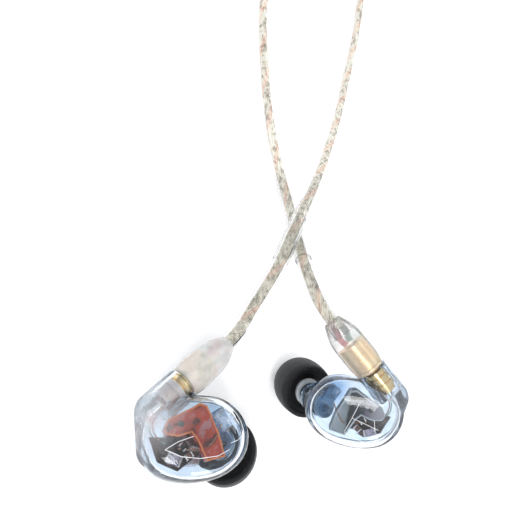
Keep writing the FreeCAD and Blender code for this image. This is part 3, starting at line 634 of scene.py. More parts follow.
def line_points(curve):
    """The points of a curve's own line."""
    bare = curve.copy()
    bare.bevel_depth = 0
    holder = bpy.data.objects.new("line", bare)
    mesh = bpy.data.meshes.new_from_object(holder)
    points = [vertex.co.copy() for vertex in mesh.vertices]
    bpy.data.objects.remove(holder)
    bpy.data.meshes.remove(mesh)
    bpy.data.curves.remove(bare)
    return points


def even_points(points, pitch):
    """The same line in even steps of about this pitch."""
    marks = [0.0]
    for first, second in zip(points, points[1:]):
        marks.append(marks[-1] + (second - first).length)
    count = max(2, round(marks[-1] / pitch))
    result, at = [], 0
    for step in range(count + 1):
        goal = marks[-1] * step / count
        while at < len(marks) - 2 and marks[at + 1] < goal:
            at += 1
        share = (goal - marks[at]) / max(marks[at + 1] - marks[at], 1e-12)
        result.append(points[at].lerp(points[at + 1], share))
    return result


def line_length(points):
    return sum((second - first).length for first, second in zip(points, points[1:]))


def stretch(points, start, end):
    """The part of a line from one distance along it to another."""
    result, distance = [], 0.0
    for first, second in zip(points, points[1:]):
        if start <= distance <= end:
            result.append(first)
        distance += (second - first).length
    return result


def side_frames(points):
    """Two directions square to the line at each point, without twist."""
    frames = []
    across = None
    for number, point in enumerate(points):
        ahead = points[min(number + 1, len(points) - 1)] - points[max(number - 1, 0)]
        ahead.normalize()
        if across is None:
            across = ahead.orthogonal()
        across = (across - ahead * across.dot(ahead)).normalized()
        frames.append((point, across.copy(), ahead.cross(across)))
    return frames


def tube_mesh(name, lines, sides=8, caps=True):
    """Round tubes along lines of (point, radius), as one mesh."""
    curve = bpy.data.curves.new(name, "CURVE")
    curve.dimensions = "3D"
    curve.bevel_depth = 1.0
    curve.bevel_resolution = max(0, sides // 2 - 2)
    curve.use_fill_caps = caps
    for line in lines:
        spline = curve.splines.new("POLY")
        spline.points.add(len(line) - 1)
        for point, (place, radius) in zip(spline.points, line):
            point.co = (*place, 1.0)
            point.radius = radius
    holder = bpy.data.objects.new(name, curve)
    mesh = bpy.data.meshes.new_from_object(holder)
    mesh.name = name
    bpy.data.objects.remove(holder)
    bpy.data.curves.remove(curve)
    mesh.shade_smooth()
    return mesh


def hollow_tube(name, line, wall):
    """An open tube along a line of (point, radius), with a wall and closed rims."""
    mesh = tube_mesh(name, [line], sides=16, caps=False)
    shape = bmesh.new()
    shape.from_mesh(mesh)
    bmesh.ops.recalc_face_normals(shape, faces=shape.faces)
    bmesh.ops.solidify(shape, geom=shape.faces, thickness=wall)
    bmesh.ops.recalc_face_normals(shape, faces=shape.faces)
    shape.to_mesh(mesh)
    shape.free()
    mesh.shade_smooth()
    return mesh


# ----------------------------------------------------------- the earpieces' frames

def joint_named(name):
    return next(joint for joint in frame["joints"] if joint["name"] == name)


def basis(first, second):
    """Three square directions from two that are not in line."""
    along = first.normalized()
    across = first.cross(second).normalized()
    return Matrix((along, across.cross(along), across)).transposed()


class Earpiece:
    """Where an earpiece lies, worked out from its connector's and its tip's joints."""

    def __init__(self, name):
        self.name = name
        self.side = SIDES[name]
        socket_way = Vector((math.cos(SOCKET_ANGLE) * self.side, math.sin(SOCKET_ANGLE), 0))
        nozzle_way = Vector((math.sin(NOZZLE_ANGLE) * self.side, 0, -math.cos(NOZZLE_ANGLE)))
        swivel = joint_named(name + "_connector_swivel")
        pull = joint_named(name + "_tip_pull")
        self.socket = Vector(swivel["axis"]).normalized()
        self.nozzle = Vector(pull["axis"]).normalized()
        turn = basis(self.socket, self.nozzle) @ basis(socket_way, nozzle_way).transposed()
        mouth = Vector((SOCKET_MOUTH[0] * self.side, SOCKET_MOUTH[1], 0))
        self.mouth = Vector(swivel["pos_m"])
        self.turn = turn
        self.centre = self.mouth - turn @ mouth

    def at(self, x, y, z):
        """A point of the earpiece's own frame, in millimetres, mirrored for the left."""
        return self.centre + self.turn @ (Vector((x * self.side, y, z)) * MM)

    def along(self, start, way):
        """A placement whose Z axis starts at a point and runs along a direction."""
        return Matrix.Translation(start) @ way.to_track_quat("Z", "Y").to_matrix().to_4x4()

    def tip_place(self):
        """Where the foam tip starts, with its Z axis along the nozzle."""
        return self.along(self.at(*NOZZLE_FOOT) + self.nozzle * TIP_START, self.nozzle)


EARS = {name: Earpiece(name) for name in SIDES}


# ------------------------------------------------------------------- the operators

class OBJECT_OT_monitor_stage(bpy.types.Operator):
    """Pale floor, soft studio light and the camera"""

    bl_idname = "object.monitor_stage"
    bl_label = "Stage"

    def execute(self, context):
        looks = context.scene.monitor_stage
        self.make_floor(looks)
        self.make_sky(context, looks)
        self.make_lamps(context)
        self.make_camera(context)
        context.scene.view_settings.view_transform = "Standard"
        return {"FINISHED"}

    def make_floor(self, looks):
        shape = bmesh.new()
        bmesh.ops.create_grid(shape, x_segments=2, y_segments=2, size=3.0)
        floor = bpy.data.objects.new("floor", to_mesh("floor", shape, False))
        bpy.context.scene.collection.objects.link(floor)
        finish = Finish("pale_floor", looks.floor_colour, 0.9, Emission_Strength=looks.floor_glow)
        finish.set("Emission Color", (*looks.floor_colour, 1.0))
        floor.data.materials.append(finish.material)

    def make_sky(self, context, looks):
        world = bpy.data.worlds.new("studio")
        context.scene.world = world
        world.use_nodes = True
        tree = world.node_tree
        back = tree.nodes["Background"]
        back.inputs["Strength"].default_value = looks.sky_light
        points = tree.nodes.new("ShaderNodeTexCoord")
        parts = tree.nodes.new("ShaderNodeSeparateXYZ")
        tree.links.new(points.outputs["Generated"], parts.inputs[0])
        ramp = tree.nodes.new("ShaderNodeValToRGB")
        tree.links.new(parts.outputs["Z"], ramp.inputs[0])
        stops = ((0.0, (0.36, 0.40, 0.47)), (0.28, (0.55, 0.60, 0.67)), (0.7, (1.0, 1.0, 1.0)))
        ramp.color_ramp.elements.new(0.5)
        for element, (place, colour) in zip(ramp.color_ramp.elements, stops):
            element.position = place
            element.color = (*colour, 1.0)
        tree.links.new(ramp.outputs[0], back.inputs["Color"])

    def make_lamps(self, context):
        lamps = (
            ("key_softbox", (-0.25, -0.10, 0.55), (0, 0.02, 0.01), 0.20, 1.3),
            ("fill_softbox", (0.45, 0.35, 0.40), (0, 0.05, 0), 0.26, 0.9),
            ("rim_softbox", (0.05, -0.50, 0.25), (0, 0.0, 0.02), 0.16, 0.6),
        )
        for name, place, aim, width, power in lamps:
            lamp = bpy.data.lights.new(name, "AREA")
            lamp.shape = "SQUARE"
            lamp.size = width
            lamp.energy = power
            light = bpy.data.objects.new(name, lamp)
            light.location = place
            light.rotation_euler = (Vector(aim) - Vector(place)).to_track_quat("-Z", "Y").to_euler()
            context.scene.collection.objects.link(light)

    def make_camera(self, context):
        lens = bpy.data.cameras.new("camera")
        lens.lens = CAMERA_LENS
        lens.sensor_width = 36
        lens.clip_start = 0.005
        camera = bpy.data.objects.new("camera", lens)
        right, up = Vector(CAMERA_RIGHT).normalized(), Vector(CAMERA_UP).normalized()
        back = right.cross(up).normalized()
        up = back.cross(right)
        turn = Matrix((right, up, back)).transposed().to_4x4()
        camera.matrix_world = Matrix.Translation(CAMERA_PLACE) @ turn
        context.scene.collection.objects.link(camera)
        context.scene.camera = camera


class OBJECT_OT_monitor_shells(bpy.types.Operator):
    """Clear shells with their engraved lines"""

    bl_idname = "object.monitor_shells"
    bl_label = "Shells"

    # Generic engraved lines on each face cover, in the earpiece's own frame.
    LINES = {
        "right": (
            ((-5.6, -2.6), (-3.0, -3.9), (0.2, -4.5), (3.4, -4.4), (5.6, -3.6)),
            ((5.9, -2.6), (7.4, -2.2), (8.6, -1.4)),
            ((-5.6, -2.6), (-3.4, -1.6), (-0.8, -1.0)),
        ),
        "left": (
            ((0.6, 2.6), (1.4, -0.4), (2.4, -3.6)),
            ((1.4, -0.4), (-1.2, -0.9), (-4.2, -1.6)),
            ((2.4, -3.6), (0.0, -4.4), (-2.0, -4.8)),
            ((-3.0, 0.2), (-3.6, -2.0)),
        ),
    }

    # How cloudy each shell is round its connector.
    HAZE = {"right": 0.75, "left": 0.22}
    # The colour that deepens towards the nozzle in each inner shell.
    STAIN = {"right": (0.50, 0.68, 0.90), "left": (0.22, 0.42, 0.74)}

    def execute(self, context):
        looks = context.scene.monitor_looks
        stem = clear_plastic("clear_stem", (0.86, 0.90, 0.91), 0.04)
        white = etched_line("etched_line")
        for name, ear in EARS.items():
            haze = self.HAZE[name]
            shell = hazed_shell(name + "_clear_cover", looks.shell_tint, ear, haze)
            inner = hazed_shell(
                name + "_clear_inner", looks.inner_tint, ear, haze * 0.6, self.STAIN[name])
            finish_ear(name, {"face_cover": shell, "inner_shell": inner, "nozzle_stem": stem})
            self.engrave(ear, white)
        return {"FINISHED"}

    def engrave(self, ear, white):
        """Thin filled lines that follow the face cover's surface."""
        cover = frame["nodes"][ear.name + "_face_cover"].data
        faces = [tuple(polygon.vertices) for polygon in cover.polygons]
        surface = BVHTree.FromPolygons([vertex.co for vertex in cover.vertices], faces)
        down = ear.turn @ Vector((0, 0, -1))
        lines = []
        for corners in self.LINES[ear.name]:
            line = [tuple(a + (b - a) * step / 6 for a, b in zip(first, second))
                    for first, second in zip(corners, corners[1:]) for step in range(6)]
            line.append(corners[-1])
            hits = [surface.ray_cast(ear.at(x, y, 9), down)[0] for x, y in line]
            lines.append([(hit, 0.05 * MM) for hit in hits if hit is not None])
        mesh = tube_mesh(ear.name + "_engraving", lines, sides=6)
        add_piece(mesh.name, mesh, [white], ear.name + "_earpiece")


class OBJECT_OT_monitor_drivers(bpy.types.Operator):
    """Carriers, boards, driver cans and their leads"""

    bl_idname = "object.monitor_drivers"
    bl_label = "Drivers"

    # The carrier's outline and the board's components, in an earpiece's own frame.
    CARRIER_OUTLINE = (
        (-5.4, 1.0), (-4.7, 2.3), (1.2, 4.7), (2.5, 4.3), (4.4, -0.6), (5.2, -4.4), (2.0, -4.8),
        (0.4, -1.2), (-0.6, 0.1), (-2.9, -0.4), (-5.0, 0.0),
    )
    RIM_SHARE = 0.97
    CARRIER_TOP = 2.22
    BOARD_TOP = -0.2
    # Middle, turn in degrees and sizes, and the finish number of their tinned ends.
    COMPONENTS = (
        ((-3.4, -3.7), -26.6, (2.6, 1.6, 1.1)),
        ((-1.7, -1.9), -52, (1.4, 0.8, 0.45)),
        ((-0.75, -3.5), 28.5, (1.5, 1.1, 0.9)),
    )
    TINNED = 3
    END_LENGTH, END_PROUD = 0.32, 0.06

    def execute(self, context):
        looks = context.scene.monitor_looks
        board = solder_masked_board("circuit_board")
        black = moulded_plastic("pin_black", (0.012, 0.012, 0.013))
        mesh_finish = woven_mesh("damper_mesh")
        carriers = {
            "right": coloured_carrier("right_carrier", looks.right_colour, (0.62, 0.26, 0.26), 0.1),
            "left": banded_carrier("left_carrier", looks.left_colour, EARS["left"]),
        }
        chambers = {
            "right": coloured_carrier("right_chamber", (0.42, 0.62, 0.86), (0.72, 0.82, 0.93), 0.6, 0.6),
            "left": coloured_carrier("left_chamber", (0.34, 0.56, 0.80), (0.97, 0.98, 1.0), 0.3, 0.6),
        }
        cans = {
            "right": satin_can("right_driver_can", (0.50, 0.47, 0.50)),
            "left": satin_can("left_driver_can", (0.50, 0.51, 0.58)),
        }
        blue_can = coloured_carrier("blue_driver", (0.16, 0.34, 0.60), (0.62, 0.76, 0.90), 0.15, 0.5)
        # Painted highlight: these beads' bright colours stand in for the light along the carriers' top edges.
        rims = {
            "right": moulded_plastic("right_rim", (1.0, 0.24, 0.06), 0.2),
            "left": moulded_plastic("left_rim", (0.62, 0.66, 0.70), 0.2),
        }
        components = [
            satin_can("capacitor_can", (0.42, 0.38, 0.46)),
            moulded_plastic("resistor_black", (0.02, 0.02, 0.022)),
            moulded_plastic("choke_brown", (0.20, 0.10, 0.07)),
            satin_can("tinned_end", (0.72, 0.71, 0.70)),
        ]
        copper = enamelled_wire("copper_lead", (0.42, 0.20, 0.12))
        green = enamelled_wire("green_lead", (0.10, 0.30, 0.22))
        for name, ear in EARS.items():
            finish_ear(name, {
                "driver_carrier": carriers[name], "crossover_board": board, "locating_pins": black,
                "tweeter": blue_can, "woofers": cans[name], "sound_chamber": chambers[name],
                "acoustic_damper": mesh_finish})
            self.make_leads(ear, copper, green)
            self.make_lit_edge_bead(ear, rims[name])
            self.make_components(ear, components)
        return {"FINISHED"}

    def make_lit_edge_bead(self, ear, finish):
        """A bead round the top of the carrier, whose bright colour is a painted highlight along the carrier's
        edge.
        """
        corners = [ear.at(x * self.RIM_SHARE, y * self.RIM_SHARE, self.CARRIER_TOP)
                   for x, y in self.CARRIER_OUTLINE]
        line = [(corner, 0.2 * MM) for corner in corners + corners[:2]]
        mesh = tube_mesh(ear.name + "_carrier_rim", [line], sides=6)
        add_piece(mesh.name, mesh, [finish], ear.name + "_earpiece")

    def make_components(self, ear, finishes):
        """Capacitor, resistor and choke on the board, each with its two tinned ends."""
        shape = bmesh.new()
        for number, (middle, spin, sizes) in enumerate(self.COMPONENTS):
            turn = Matrix.Rotation(math.radians(spin) * ear.side, 4, "Z")
            lift = self.BOARD_TOP + sizes[2] / 2
            place = Matrix.Translation((middle[0] * ear.side, middle[1], lift)) @ turn
            self.add_block(shape, place, sizes, number)
            ends = (self.END_LENGTH, sizes[1] + self.END_PROUD, sizes[2] + self.END_PROUD)
            for end in (-1, 1):
                inset = Matrix.Translation((end * (sizes[0] / 2 - 0.12), 0, 0))
                self.add_block(shape, place @ inset, ends, self.TINNED)
        home = Matrix.Translation(ear.centre) @ ear.turn.to_4x4() @ Matrix.Scale(MM, 4)
        bmesh.ops.transform(shape, matrix=home, verts=shape.verts)
        mesh = to_mesh(ear.name + "_components", shape, False)
        add_piece(
            ear.name + "_board_components", mesh, finishes, ear.name + "_earpiece",
            [ear.name + "_crossover_parts"])

    def add_block(self, shape, place, sizes, number):
        """One rounded block of this size."""
        made = bmesh.ops.create_cube(shape, size=1.0)["verts"]
        bmesh.ops.scale(shape, vec=sizes, verts=made)
        bmesh.ops.transform(shape, matrix=place, verts=made)
        edges = list({edge for vert in made for edge in vert.link_edges})
        before = set(shape.faces) - {face for vert in made for face in vert.link_faces}
        bmesh.ops.bevel(
            shape, geom=edges, offset=0.09, segments=2, profile=0.5, affect="EDGES", material=-1)
        for face in set(shape.faces) - before:
            face.material_index = number

    def make_leads(self, ear, copper, green):
        """Thin leads from the jack to the board, and from the board to the drivers."""
        routes = (
            ((-4.9, 5.0, 0.2), (-5.8, 4.2, -0.4), (-6.9, 2.6, -0.6), (-6.6, 0.6, -0.5), (-5.6, -0.6, -0.15)),
            ((-5.3, 5.2, -0.3), (-6.6, 4.4, -0.9), (-7.5, 2.2, -1.0), (-6.9, 0.0, -0.6), (-4.6, -1.2, -0.15)),
            ((-2.6, -2.0, -0.15), (0.4, -2.6, 0.4), (2.6, -2.6, 2.5), (4.4, -0.4, 2.2), (5.2, 1.0, 1.4)),
        )
        for number, (points, colour) in enumerate(zip(routes, (copper, green, copper)), start=1):
            name = "%s_driver_lead_%d" % (ear.name, number)
            places = [ear.at(*point) / MM for point in points]
            curve = route_curve(name, places, 0.13 * MM)
            curve.bevel_resolution = 2
            add_piece(name, curve, [colour], ear.name + "_earpiece")


class OBJECT_OT_monitor_tips(bpy.types.Operator):
    """Foam ear tips on their soft cores"""

    bl_idname = "object.monitor_tips"
    bl_label = "Ear tips"

    WIDEST, LENGTH, RECESS, CORE = 6.8, 11.8, 2.2, 2.42
    BORE, BORE_FOOT = 1.9, 10.65
    LIP_MIDDLE, LIP_RADIUS = 5.95, 0.62

    def execute(self, context):
        looks = context.scene.monitor_looks
        foam = fine_foam("black_foam", looks.foam_colour, looks.foam_cell)
        core = soft_grey("core_grey", (0.60, 0.63, 0.65))
        for name, ear in EARS.items():
            finish_nodes(core, name + "_tip_core")
            mesh = turned(name + "_foam", ear.tip_place(), self.profile(), steps=96)
            tip = add_piece(
                name + "_foam_tip_skin", mesh, [foam], name + "_ear_tip",
                [name + "_foam_tip"])
        return {"FINISHED"}

    def profile(self):
        """From the hollow at the back, over the soft rim and the dome, to the core."""
        points = [(self.CORE, self.RECESS), (3.6, self.RECESS), (4.2, 1.75), (4.9, 0.9)]
        for step in range(9):
            angle = math.radians(200 - 20 * step)
            radius = self.LIP_MIDDLE + self.LIP_RADIUS * math.cos(angle)
            points.append((radius, self.LIP_RADIUS * (1 - math.sin(angle))))
        points.append((self.WIDEST - 0.14, 1.7))
        for step in range(1, 21):
            share = step / 20
            height = 3.0 + (self.LENGTH - 3.0) * share
            points.append((self.WIDEST * (1 - share ** 3.2 * 0.72) ** 0.9, height))
        top = points[-1][0]
        points += [
            (top - 0.25, self.LENGTH - 0.02), (self.BORE + 0.05, self.LENGTH - 0.06), (self.BORE, 11.2),
            (self.BORE, self.BORE_FOOT), (self.CORE, self.BORE_FOOT), points[0]]
        return [(radius * MM, height * MM) for radius, height in points]


class OBJECT_OT_monitor_connectors(bpy.types.Operator):
    """Gold connectors and the soft boots moulded over them"""

    bl_idname = "object.monitor_connectors"
    bl_label = "Connectors"

    # Where the boot starts along the plug, and its radii at its mouth, waist and cord.
    START, MOUTH, WIDE, WIRE = 0.4, 3.2, 3.6, 1.65

    def execute(self, context):
        looks = context.scene.monitor_looks
        gold = gold_plating("gold", looks.gold_colour)
        satin = gold_plating("satin_gold", shade(looks.gold_colour, 0.94), 0.3)
        jacks = {
            "right": gold_rimmed(
                "rimmed_gold", looks.gold_colour, (0.90, 0.80, 0.75), EARS["right"].mouth),
            "left": gold,
        }
        insulators = {
            "right": coloured_carrier("right_insulator", (0.50, 0.13, 0.08), (0.80, 0.45, 0.32), 0.2),
            "left": coloured_carrier("left_insulator", (0.62, 0.50, 0.46), (0.80, 0.66, 0.60), 0.2),
        }
        white = moulded_plastic("white_insulator", (0.86, 0.84, 0.79))
        steel = spring_steel("steel")
        boots = {
            "right": milky_plastic("right_boot_soft", (0.95, 0.95, 0.955), 0.45),
            "left": milky_plastic("left_boot_soft", (0.95, 0.955, 0.95), 0.78),
        }
        pink = enamelled_wire("pink_conductor", (0.90, 0.24, 0.27))
        green = enamelled_wire("green_conductor", (0.42, 0.58, 0.50))
        for name, ear in EARS.items():
            finish_ear(name, {
                "jack_contact": gold, "plug_pin": gold, "plug_barrel": satin, "jack_barrel": jacks[name],
                "jack_insulator": insulators[name], "plug_insulator": white, "snap_ring": steel})
            mesh = turned(name + "_boot", ear.along(ear.mouth, ear.socket), self.profile(), 72)
            add_piece(name + "_boot_skin", mesh, [boots[name]], "cable", [name + "_cable_boot"])
            self.make_conductors(ear, pink, green)
        return {"FINISHED"}

    def profile(self):
        """The boot's outside, from its mouth over its shoulders to the cord."""
        start, end = self.START, BOOT_END
        points = [(0, start + 0.02), (self.MOUTH - 0.2, start), (self.MOUTH, start + 0.18)]
        for step in range(1, 8):
            share = step / 8
            radius = self.MOUTH + (self.WIDE - self.MOUTH) * math.sin(share * math.pi / 2)
            points.append((radius, start + 0.2 + 2.8 * share))
        points += [(self.WIDE, start + 3.2), (self.WIDE, start + 6.6)]
        for step in range(1, 13):
            share = step / 12
            drop = (self.WIDE - self.WIRE - 0.3) * (1 - math.cos(share * math.pi / 2)) ** 1.25
            points.append((self.WIDE - drop, start + 6.6 + (end - start - 6.7) * share))
        points += [(self.WIRE + 0.15, end), (0, end - 0.02)]
        return [(radius * MM, height * MM) for radius, height in points]

    def make_conductors(self, ear, pink, green):
        """The two cores of the cord, soldered to the back of the plug."""
        place = ear.along(ear.mouth, ear.socket)
        for number, (sign, colour) in enumerate(((1, pink), (-1, green)), start=1):
            name = "%s_boot_conductor_%d" % (ear.name, number)
            path = (
                (0.3 * sign, 0, 13.2), (0.5 * sign, 0.3, 11.8), (1.1 * sign, 0.5 * sign, 10.4),
                (0.9 * sign, -0.3, 9.0), (0.5 * sign, -0.2, 7.6),
            )
            points = [place @ (Vector(point) * MM) / MM for point in path]
            curve = route_curve(name, points, 0.5 * MM)
            curve.bevel_resolution = 3
            add_piece(name, curve, [colour], "cable")


class OBJECT_OT_monitor_cords(bpy.types.Operator):
    """The side cords, the main cord and what is moulded on them"""

    bl_idname = "object.monitor_cords"
    bl_label = "Cords"

    # Radii in millimetres; a strand's reach is from the cord's axis to the strand's.
    RADIUS = 1.3
    STRAND_REACH, STRAND_RADIUS = 0.62, 0.25
    BRAID_COUNT, BRAID_REACH, BRAID_RADIUS = 13, 1.0, 0.15
    WIRE_RADIUS, WIRE_WALL = 1.85, 0.5
    SLEEVE_RADIUS, SLEEVE_WALL = 2.1, 0.14
    SLEEVE_DROP, SLEEVE_LIP = 0.36, 0.04

    def execute(self, context):
        self.looks = context.scene.cord_looks
        self.jacket = clear_plastic("cord_clear", self.looks.jacket_tint, 0.05, 1.42, 0.97)
        self.tube = clear_plastic("tube_clear", (0.94, 0.94, 0.93), 0.015, 1.45, 0.99)
        self.sleeve = clear_plastic("sleeve_clear", (0.96, 0.96, 0.95), 0.03, 1.28, 0.99)
        # The dark colour given to each strand finish is its painted shade between the strands.
        self.metals = [
            twisted_strand("silver_strand", self.looks.silver_colour, (0.27, 0.25, 0.20), 0.1),
            twisted_strand("copper_strand", self.looks.copper_colour, (0.46, 0.32, 0.26), 0.05),
        ]
        boot = milky_plastic("moulded_soft", (0.90, 0.90, 0.89), 0.8)
        finish_nodes(boot, "y_split", "plug_relief")
        finish_nodes(moulded_plastic("plug_body", (0.66, 0.67, 0.67), 0.3), "plug_grip")
        finish_nodes(milky_plastic("slider_clear", (0.93, 0.94, 0.94), 0.9), "chin_slider")
        gold = gold_plating("contact_gold", context.scene.monitor_looks.gold_colour)
        finish_nodes(gold, "plug_sleeve_contact", "plug_ring_contact", "plug_tip_contact")
        finish_nodes(moulded_plastic("band_black", (0.03, 0.03, 0.03)), "plug_insulating_bands")
        for ear in EARS.values():
            self.side_cord(ear)
        self.main_cord()
        return {"FINISHED"}

    def jacketed(self, name, points, replaced):
        """A cord's jacket, its strands, and the line that both follow."""
        curve = route_curve(name + "_cord", points, self.RADIUS * MM)
        cord = add_piece(name + "_cord_jacket", curve, [self.jacket], "cable", replaced)
        line = even_points(line_points(curve), STEP)
        strands = self.strands(name + "_cord_strands", line, self.looks.strand_count,
                               self.STRAND_REACH, self.STRAND_RADIUS, True)
        return cord, strands, line

    def side_cord(self, ear):
        name = ear.name
        points = list(ROUTES[name]) + self.side_turns(name) + list(SIDE_TAIL[name])
        # The coil and the slider, which the cords share, count with the right cord.
        holds_shared = name == "right"
        cord, strands, line = self.jacketed(
            name, points, [name + "_side_cord"] + ["side_coil"] * holds_shared)
        spots = stretch(line, 0.0, WIRE_END[name])
        braid = self.strands(name + "_tube_braid", spots, self.BRAID_COUNT,
                             self.BRAID_REACH, self.BRAID_RADIUS, False)
        tube = hollow_tube(
            name + "_wire", [(spot, self.WIRE_RADIUS * MM) for spot in spots], self.WIRE_WALL * MM)
        wire = add_piece(
            name + "_formable_tube", tube, [self.tube], "cable", [name + "_ear_wire"])
        tube = hollow_tube(
            name + "_sleeve", self.sleeve_line(stretch(line, *SLEEVE_SPAN[name])), self.SLEEVE_WALL * MM)
        cover = add_piece(
            name + "_shrink_tube", tube, [self.sleeve], "cable",
            [name + "_shrink_sleeve"])
        for piece in (wire, cover):
            keep_corners(piece)
        ends = ["boot_skin", "boot_conductor_1", "boot_conductor_2"]
        on_cord = [strands, braid, wire, cover] + [bpy.data.objects[name + "_" + end] for end in ends]
        on_cord += [name + part for part in ("_plug_barrel", "_plug_insulator", "_plug_pin")]
        on_cord += ["y_split"] + ["chin_slider"] * holds_shared
        round(line_length(line), 3)

    def sleeve_line(self, spots):
        """The sleeve grips the tube, steps down past its end and grips the bare cord."""
        line = []
        total = len(spots) - 1
        for number, spot in enumerate(spots):
            drop = min(1.0, max(0.0, (number / total - 0.42) / 0.16))
            drop = drop * drop * (3 - 2 * drop) * self.SLEEVE_DROP
            lip = self.SLEEVE_LIP if number in (0, total) else 0.0
            line.append((spot, (self.SLEEVE_RADIUS - drop - lip) * MM))
        return line

    def side_turns(self, name):
        """The put-away turns of one side cord, seen from above anticlockwise."""
        radius = SIDE_COIL["radius"][name]
        return [coil_point(SIDE_COIL["centre"], radius, math.radians(90) + turn * math.tau, rise(turn))
                for turn in coil_turns(SIDE_COIL)]

    def main_cord(self):
        points = list(MAIN_LEAD) + self.main_turns() + list(MAIN_TAIL)
        cord, strands, line = self.jacketed("main", points, ["main_cord", "main_coil"])
        round(line_length(line), 3)

    def main_turns(self):
        """The put-away turns of the main cord, layer on layer, seen from above clockwise."""
        columns = MAIN_COIL["columns"]
        orders = [columns, columns[::-1]] * 2
        stations = [(radius, level) for level, order in enumerate(orders) for radius in order]
        points = []
        for turn in coil_turns(MAIN_COIL):
            whole = min(int(turn), len(stations) - 1)
            share = rise(turn) - whole
            here, following = stations[whole], stations[min(whole + 1, len(stations) - 1)]
            radius, level = (a + (b - a) * share for a, b in zip(here, following))
            points.append(coil_point(MAIN_COIL["centre"], radius, -turn * math.tau, level))
        return points

    def strands(self, name, line, count, reach, radius, filled):
        """Strands twisted round a cord's line, two of them copper, with a core if filled."""
        frames = side_frames(line)
        pitch = STEP * math.tau / self.looks.twist_length
        tubes = []
        for strand in range(count):
            path = []
            for number, (point, across, over) in enumerate(frames):
                angle = number * pitch + strand * math.tau / count
                way = across * math.cos(angle) + over * math.sin(angle)
                path.append((point + way * reach * MM, radius * MM))
            tubes.append(path[2:-2])
        if filled:
            tubes.append([(point, (reach - radius) * MM) for point, _, _ in frames[2:-2]])
        mesh = tube_mesh(name, tubes, sides=6)
        per_tube = len(mesh.polygons) // len(tubes)
        piece = add_piece(name, mesh, self.metals, "cable")
        for polygon in mesh.polygons:
            polygon.material_index = 1 if polygon.index // per_tube < 2 else 0
        return piece


def rise(turn):
    """Whole turns lie level; the cord climbs to the next in the last third of each."""
    whole = int(turn)
    share = max(0.0, (turn - whole - 0.65) / 0.35)
    return whole + share * share * (3 - 2 * share)


def coil_turns(coil):
    """How many turns each control point of a coil comes after its start."""
    return [step / COIL_POINTS for step in range(1, round(coil["turns"] * COIL_POINTS) + 1)]


def coil_point(centre, radius, angle, layer):
    """A control point of a coil whose curve comes out at this radius, in this layer."""
    reach = radius / (0.75 + 0.25 * math.cos(math.tau / COIL_POINTS)) ** 0.5
    height = CORD_DIAMETER * (0.5 + layer)
    return (centre[0] + reach * math.cos(angle), centre[1] + reach * math.sin(angle), height)


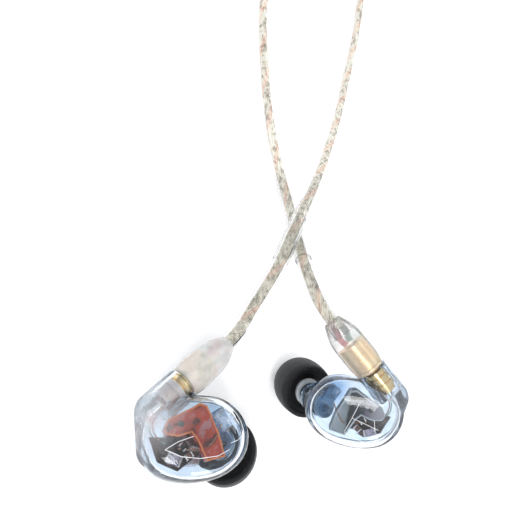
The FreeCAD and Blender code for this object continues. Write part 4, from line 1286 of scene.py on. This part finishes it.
class OBJECT_OT_monitor_ties(bpy.types.Operator):
    """The straps that tie the two coils"""

    bl_idname = "object.monitor_ties"
    bl_label = "Coil ties"

    WIDTH, THICK = 7.0, 0.6

    def execute(self, context):
        fabric = hook_and_loop("tie_fabric")
        shape = bmesh.new()
        self.add_band(shape, SIDE_COIL["centre"], (12.0, 18.0), 7.9, -60)
        self.add_band(shape, MAIN_COIL["centre"], (10.9, 19.1), 10.5, -120)
        piece = add_piece(
            "coil_straps", to_mesh("coil_straps", shape), [fabric], "cable", ["coil_ties"])
        keep_corners(piece, 50)
        return {"FINISHED"}

    def add_band(self, shape, centre, radii, rise_height, heading):
        """A flat strap round the bundle, rounded where it turns."""
        inner, outer = radii
        middle = (inner + outer) / 2
        half_wide, half_tall = (outer - inner) / 2 + self.THICK / 2, rise_height / 2
        loop = []
        for step in range(32):
            angle = step * math.tau / 32
            reach = (abs(math.cos(angle)) ** 5 + abs(math.sin(angle)) ** 5) ** -0.2
            x = middle + half_wide * math.cos(angle) * reach
            z = half_tall + self.THICK / 2 + half_tall * math.sin(angle) * reach * 0.995
            loop.append((x, z))
        corners = [shape.verts.new((x, -self.WIDTH / 2, z)) for x, z in loop]
        edges = [shape.edges.new(pair) for pair in zip(corners, corners[1:] + corners[:1])]
        wall = bmesh.ops.extrude_edge_only(shape, edges=edges)
        moved = [part for part in wall["geom"] if isinstance(part, bmesh.types.BMVert)]
        bmesh.ops.translate(shape, verts=moved, vec=(0, self.WIDTH, 0))
        faces = [part for part in wall["geom"] if isinstance(part, bmesh.types.BMFace)]
        bmesh.ops.recalc_face_normals(shape, faces=faces)
        thick = bmesh.ops.solidify(shape, geom=faces, thickness=self.THICK * 0.9)
        verts = {vert for face in faces for vert in face.verts}
        verts |= {part for part in thick["geom"] if isinstance(part, bmesh.types.BMVert)}
        turn = Matrix.Translation((*centre, 0)) @ Matrix.Rotation(math.radians(heading), 4, "Z")
        bmesh.ops.transform(shape, matrix=Matrix.Scale(MM, 4) @ turn, verts=list(verts))


class VIEW3D_PT_monitors(bpy.types.Panel):
    """Everything that makes the monitors, in order"""

    bl_label = "In ear monitors"
    bl_idname = "VIEW3D_PT_monitors"
    bl_space_type = "VIEW_3D"
    bl_region_type = "UI"
    bl_category = "Monitors"

    def draw(self, context):
        scene = context.scene
        for group in (scene.monitor_looks, scene.cord_looks, scene.monitor_stage):
            box = self.layout.box()
            for name in group.__annotations__:
                box.prop(group, name)
        for operator in OPERATORS:
            self.layout.operator(operator.bl_idname)


OPERATORS = (
    OBJECT_OT_monitor_stage,
    OBJECT_OT_monitor_shells,
    OBJECT_OT_monitor_drivers,
    OBJECT_OT_monitor_tips,
    OBJECT_OT_monitor_connectors,
    OBJECT_OT_monitor_cords,
    OBJECT_OT_monitor_ties,
)
CLASSES = (MonitorLooks, CordLooks, StageLooks, *OPERATORS, VIEW3D_PT_monitors)


def register():
    for item in CLASSES:
        bpy.utils.register_class(item)
    bpy.types.Scene.monitor_looks = PointerProperty(type=MonitorLooks)
    bpy.types.Scene.cord_looks = PointerProperty(type=CordLooks)
    bpy.types.Scene.monitor_stage = PointerProperty(type=StageLooks)


def unregister():
    del bpy.types.Scene.monitor_stage
    del bpy.types.Scene.cord_looks
    del bpy.types.Scene.monitor_looks
    for item in reversed(CLASSES):
        bpy.utils.unregister_class(item)


def main():
    register()
    for operator in OPERATORS:
        group, name = operator.bl_idname.split(".")
        getattr(getattr(bpy.ops, group), name)()
    bpy.context.view_layer.update()


if __name__ == "__main__":
    main()
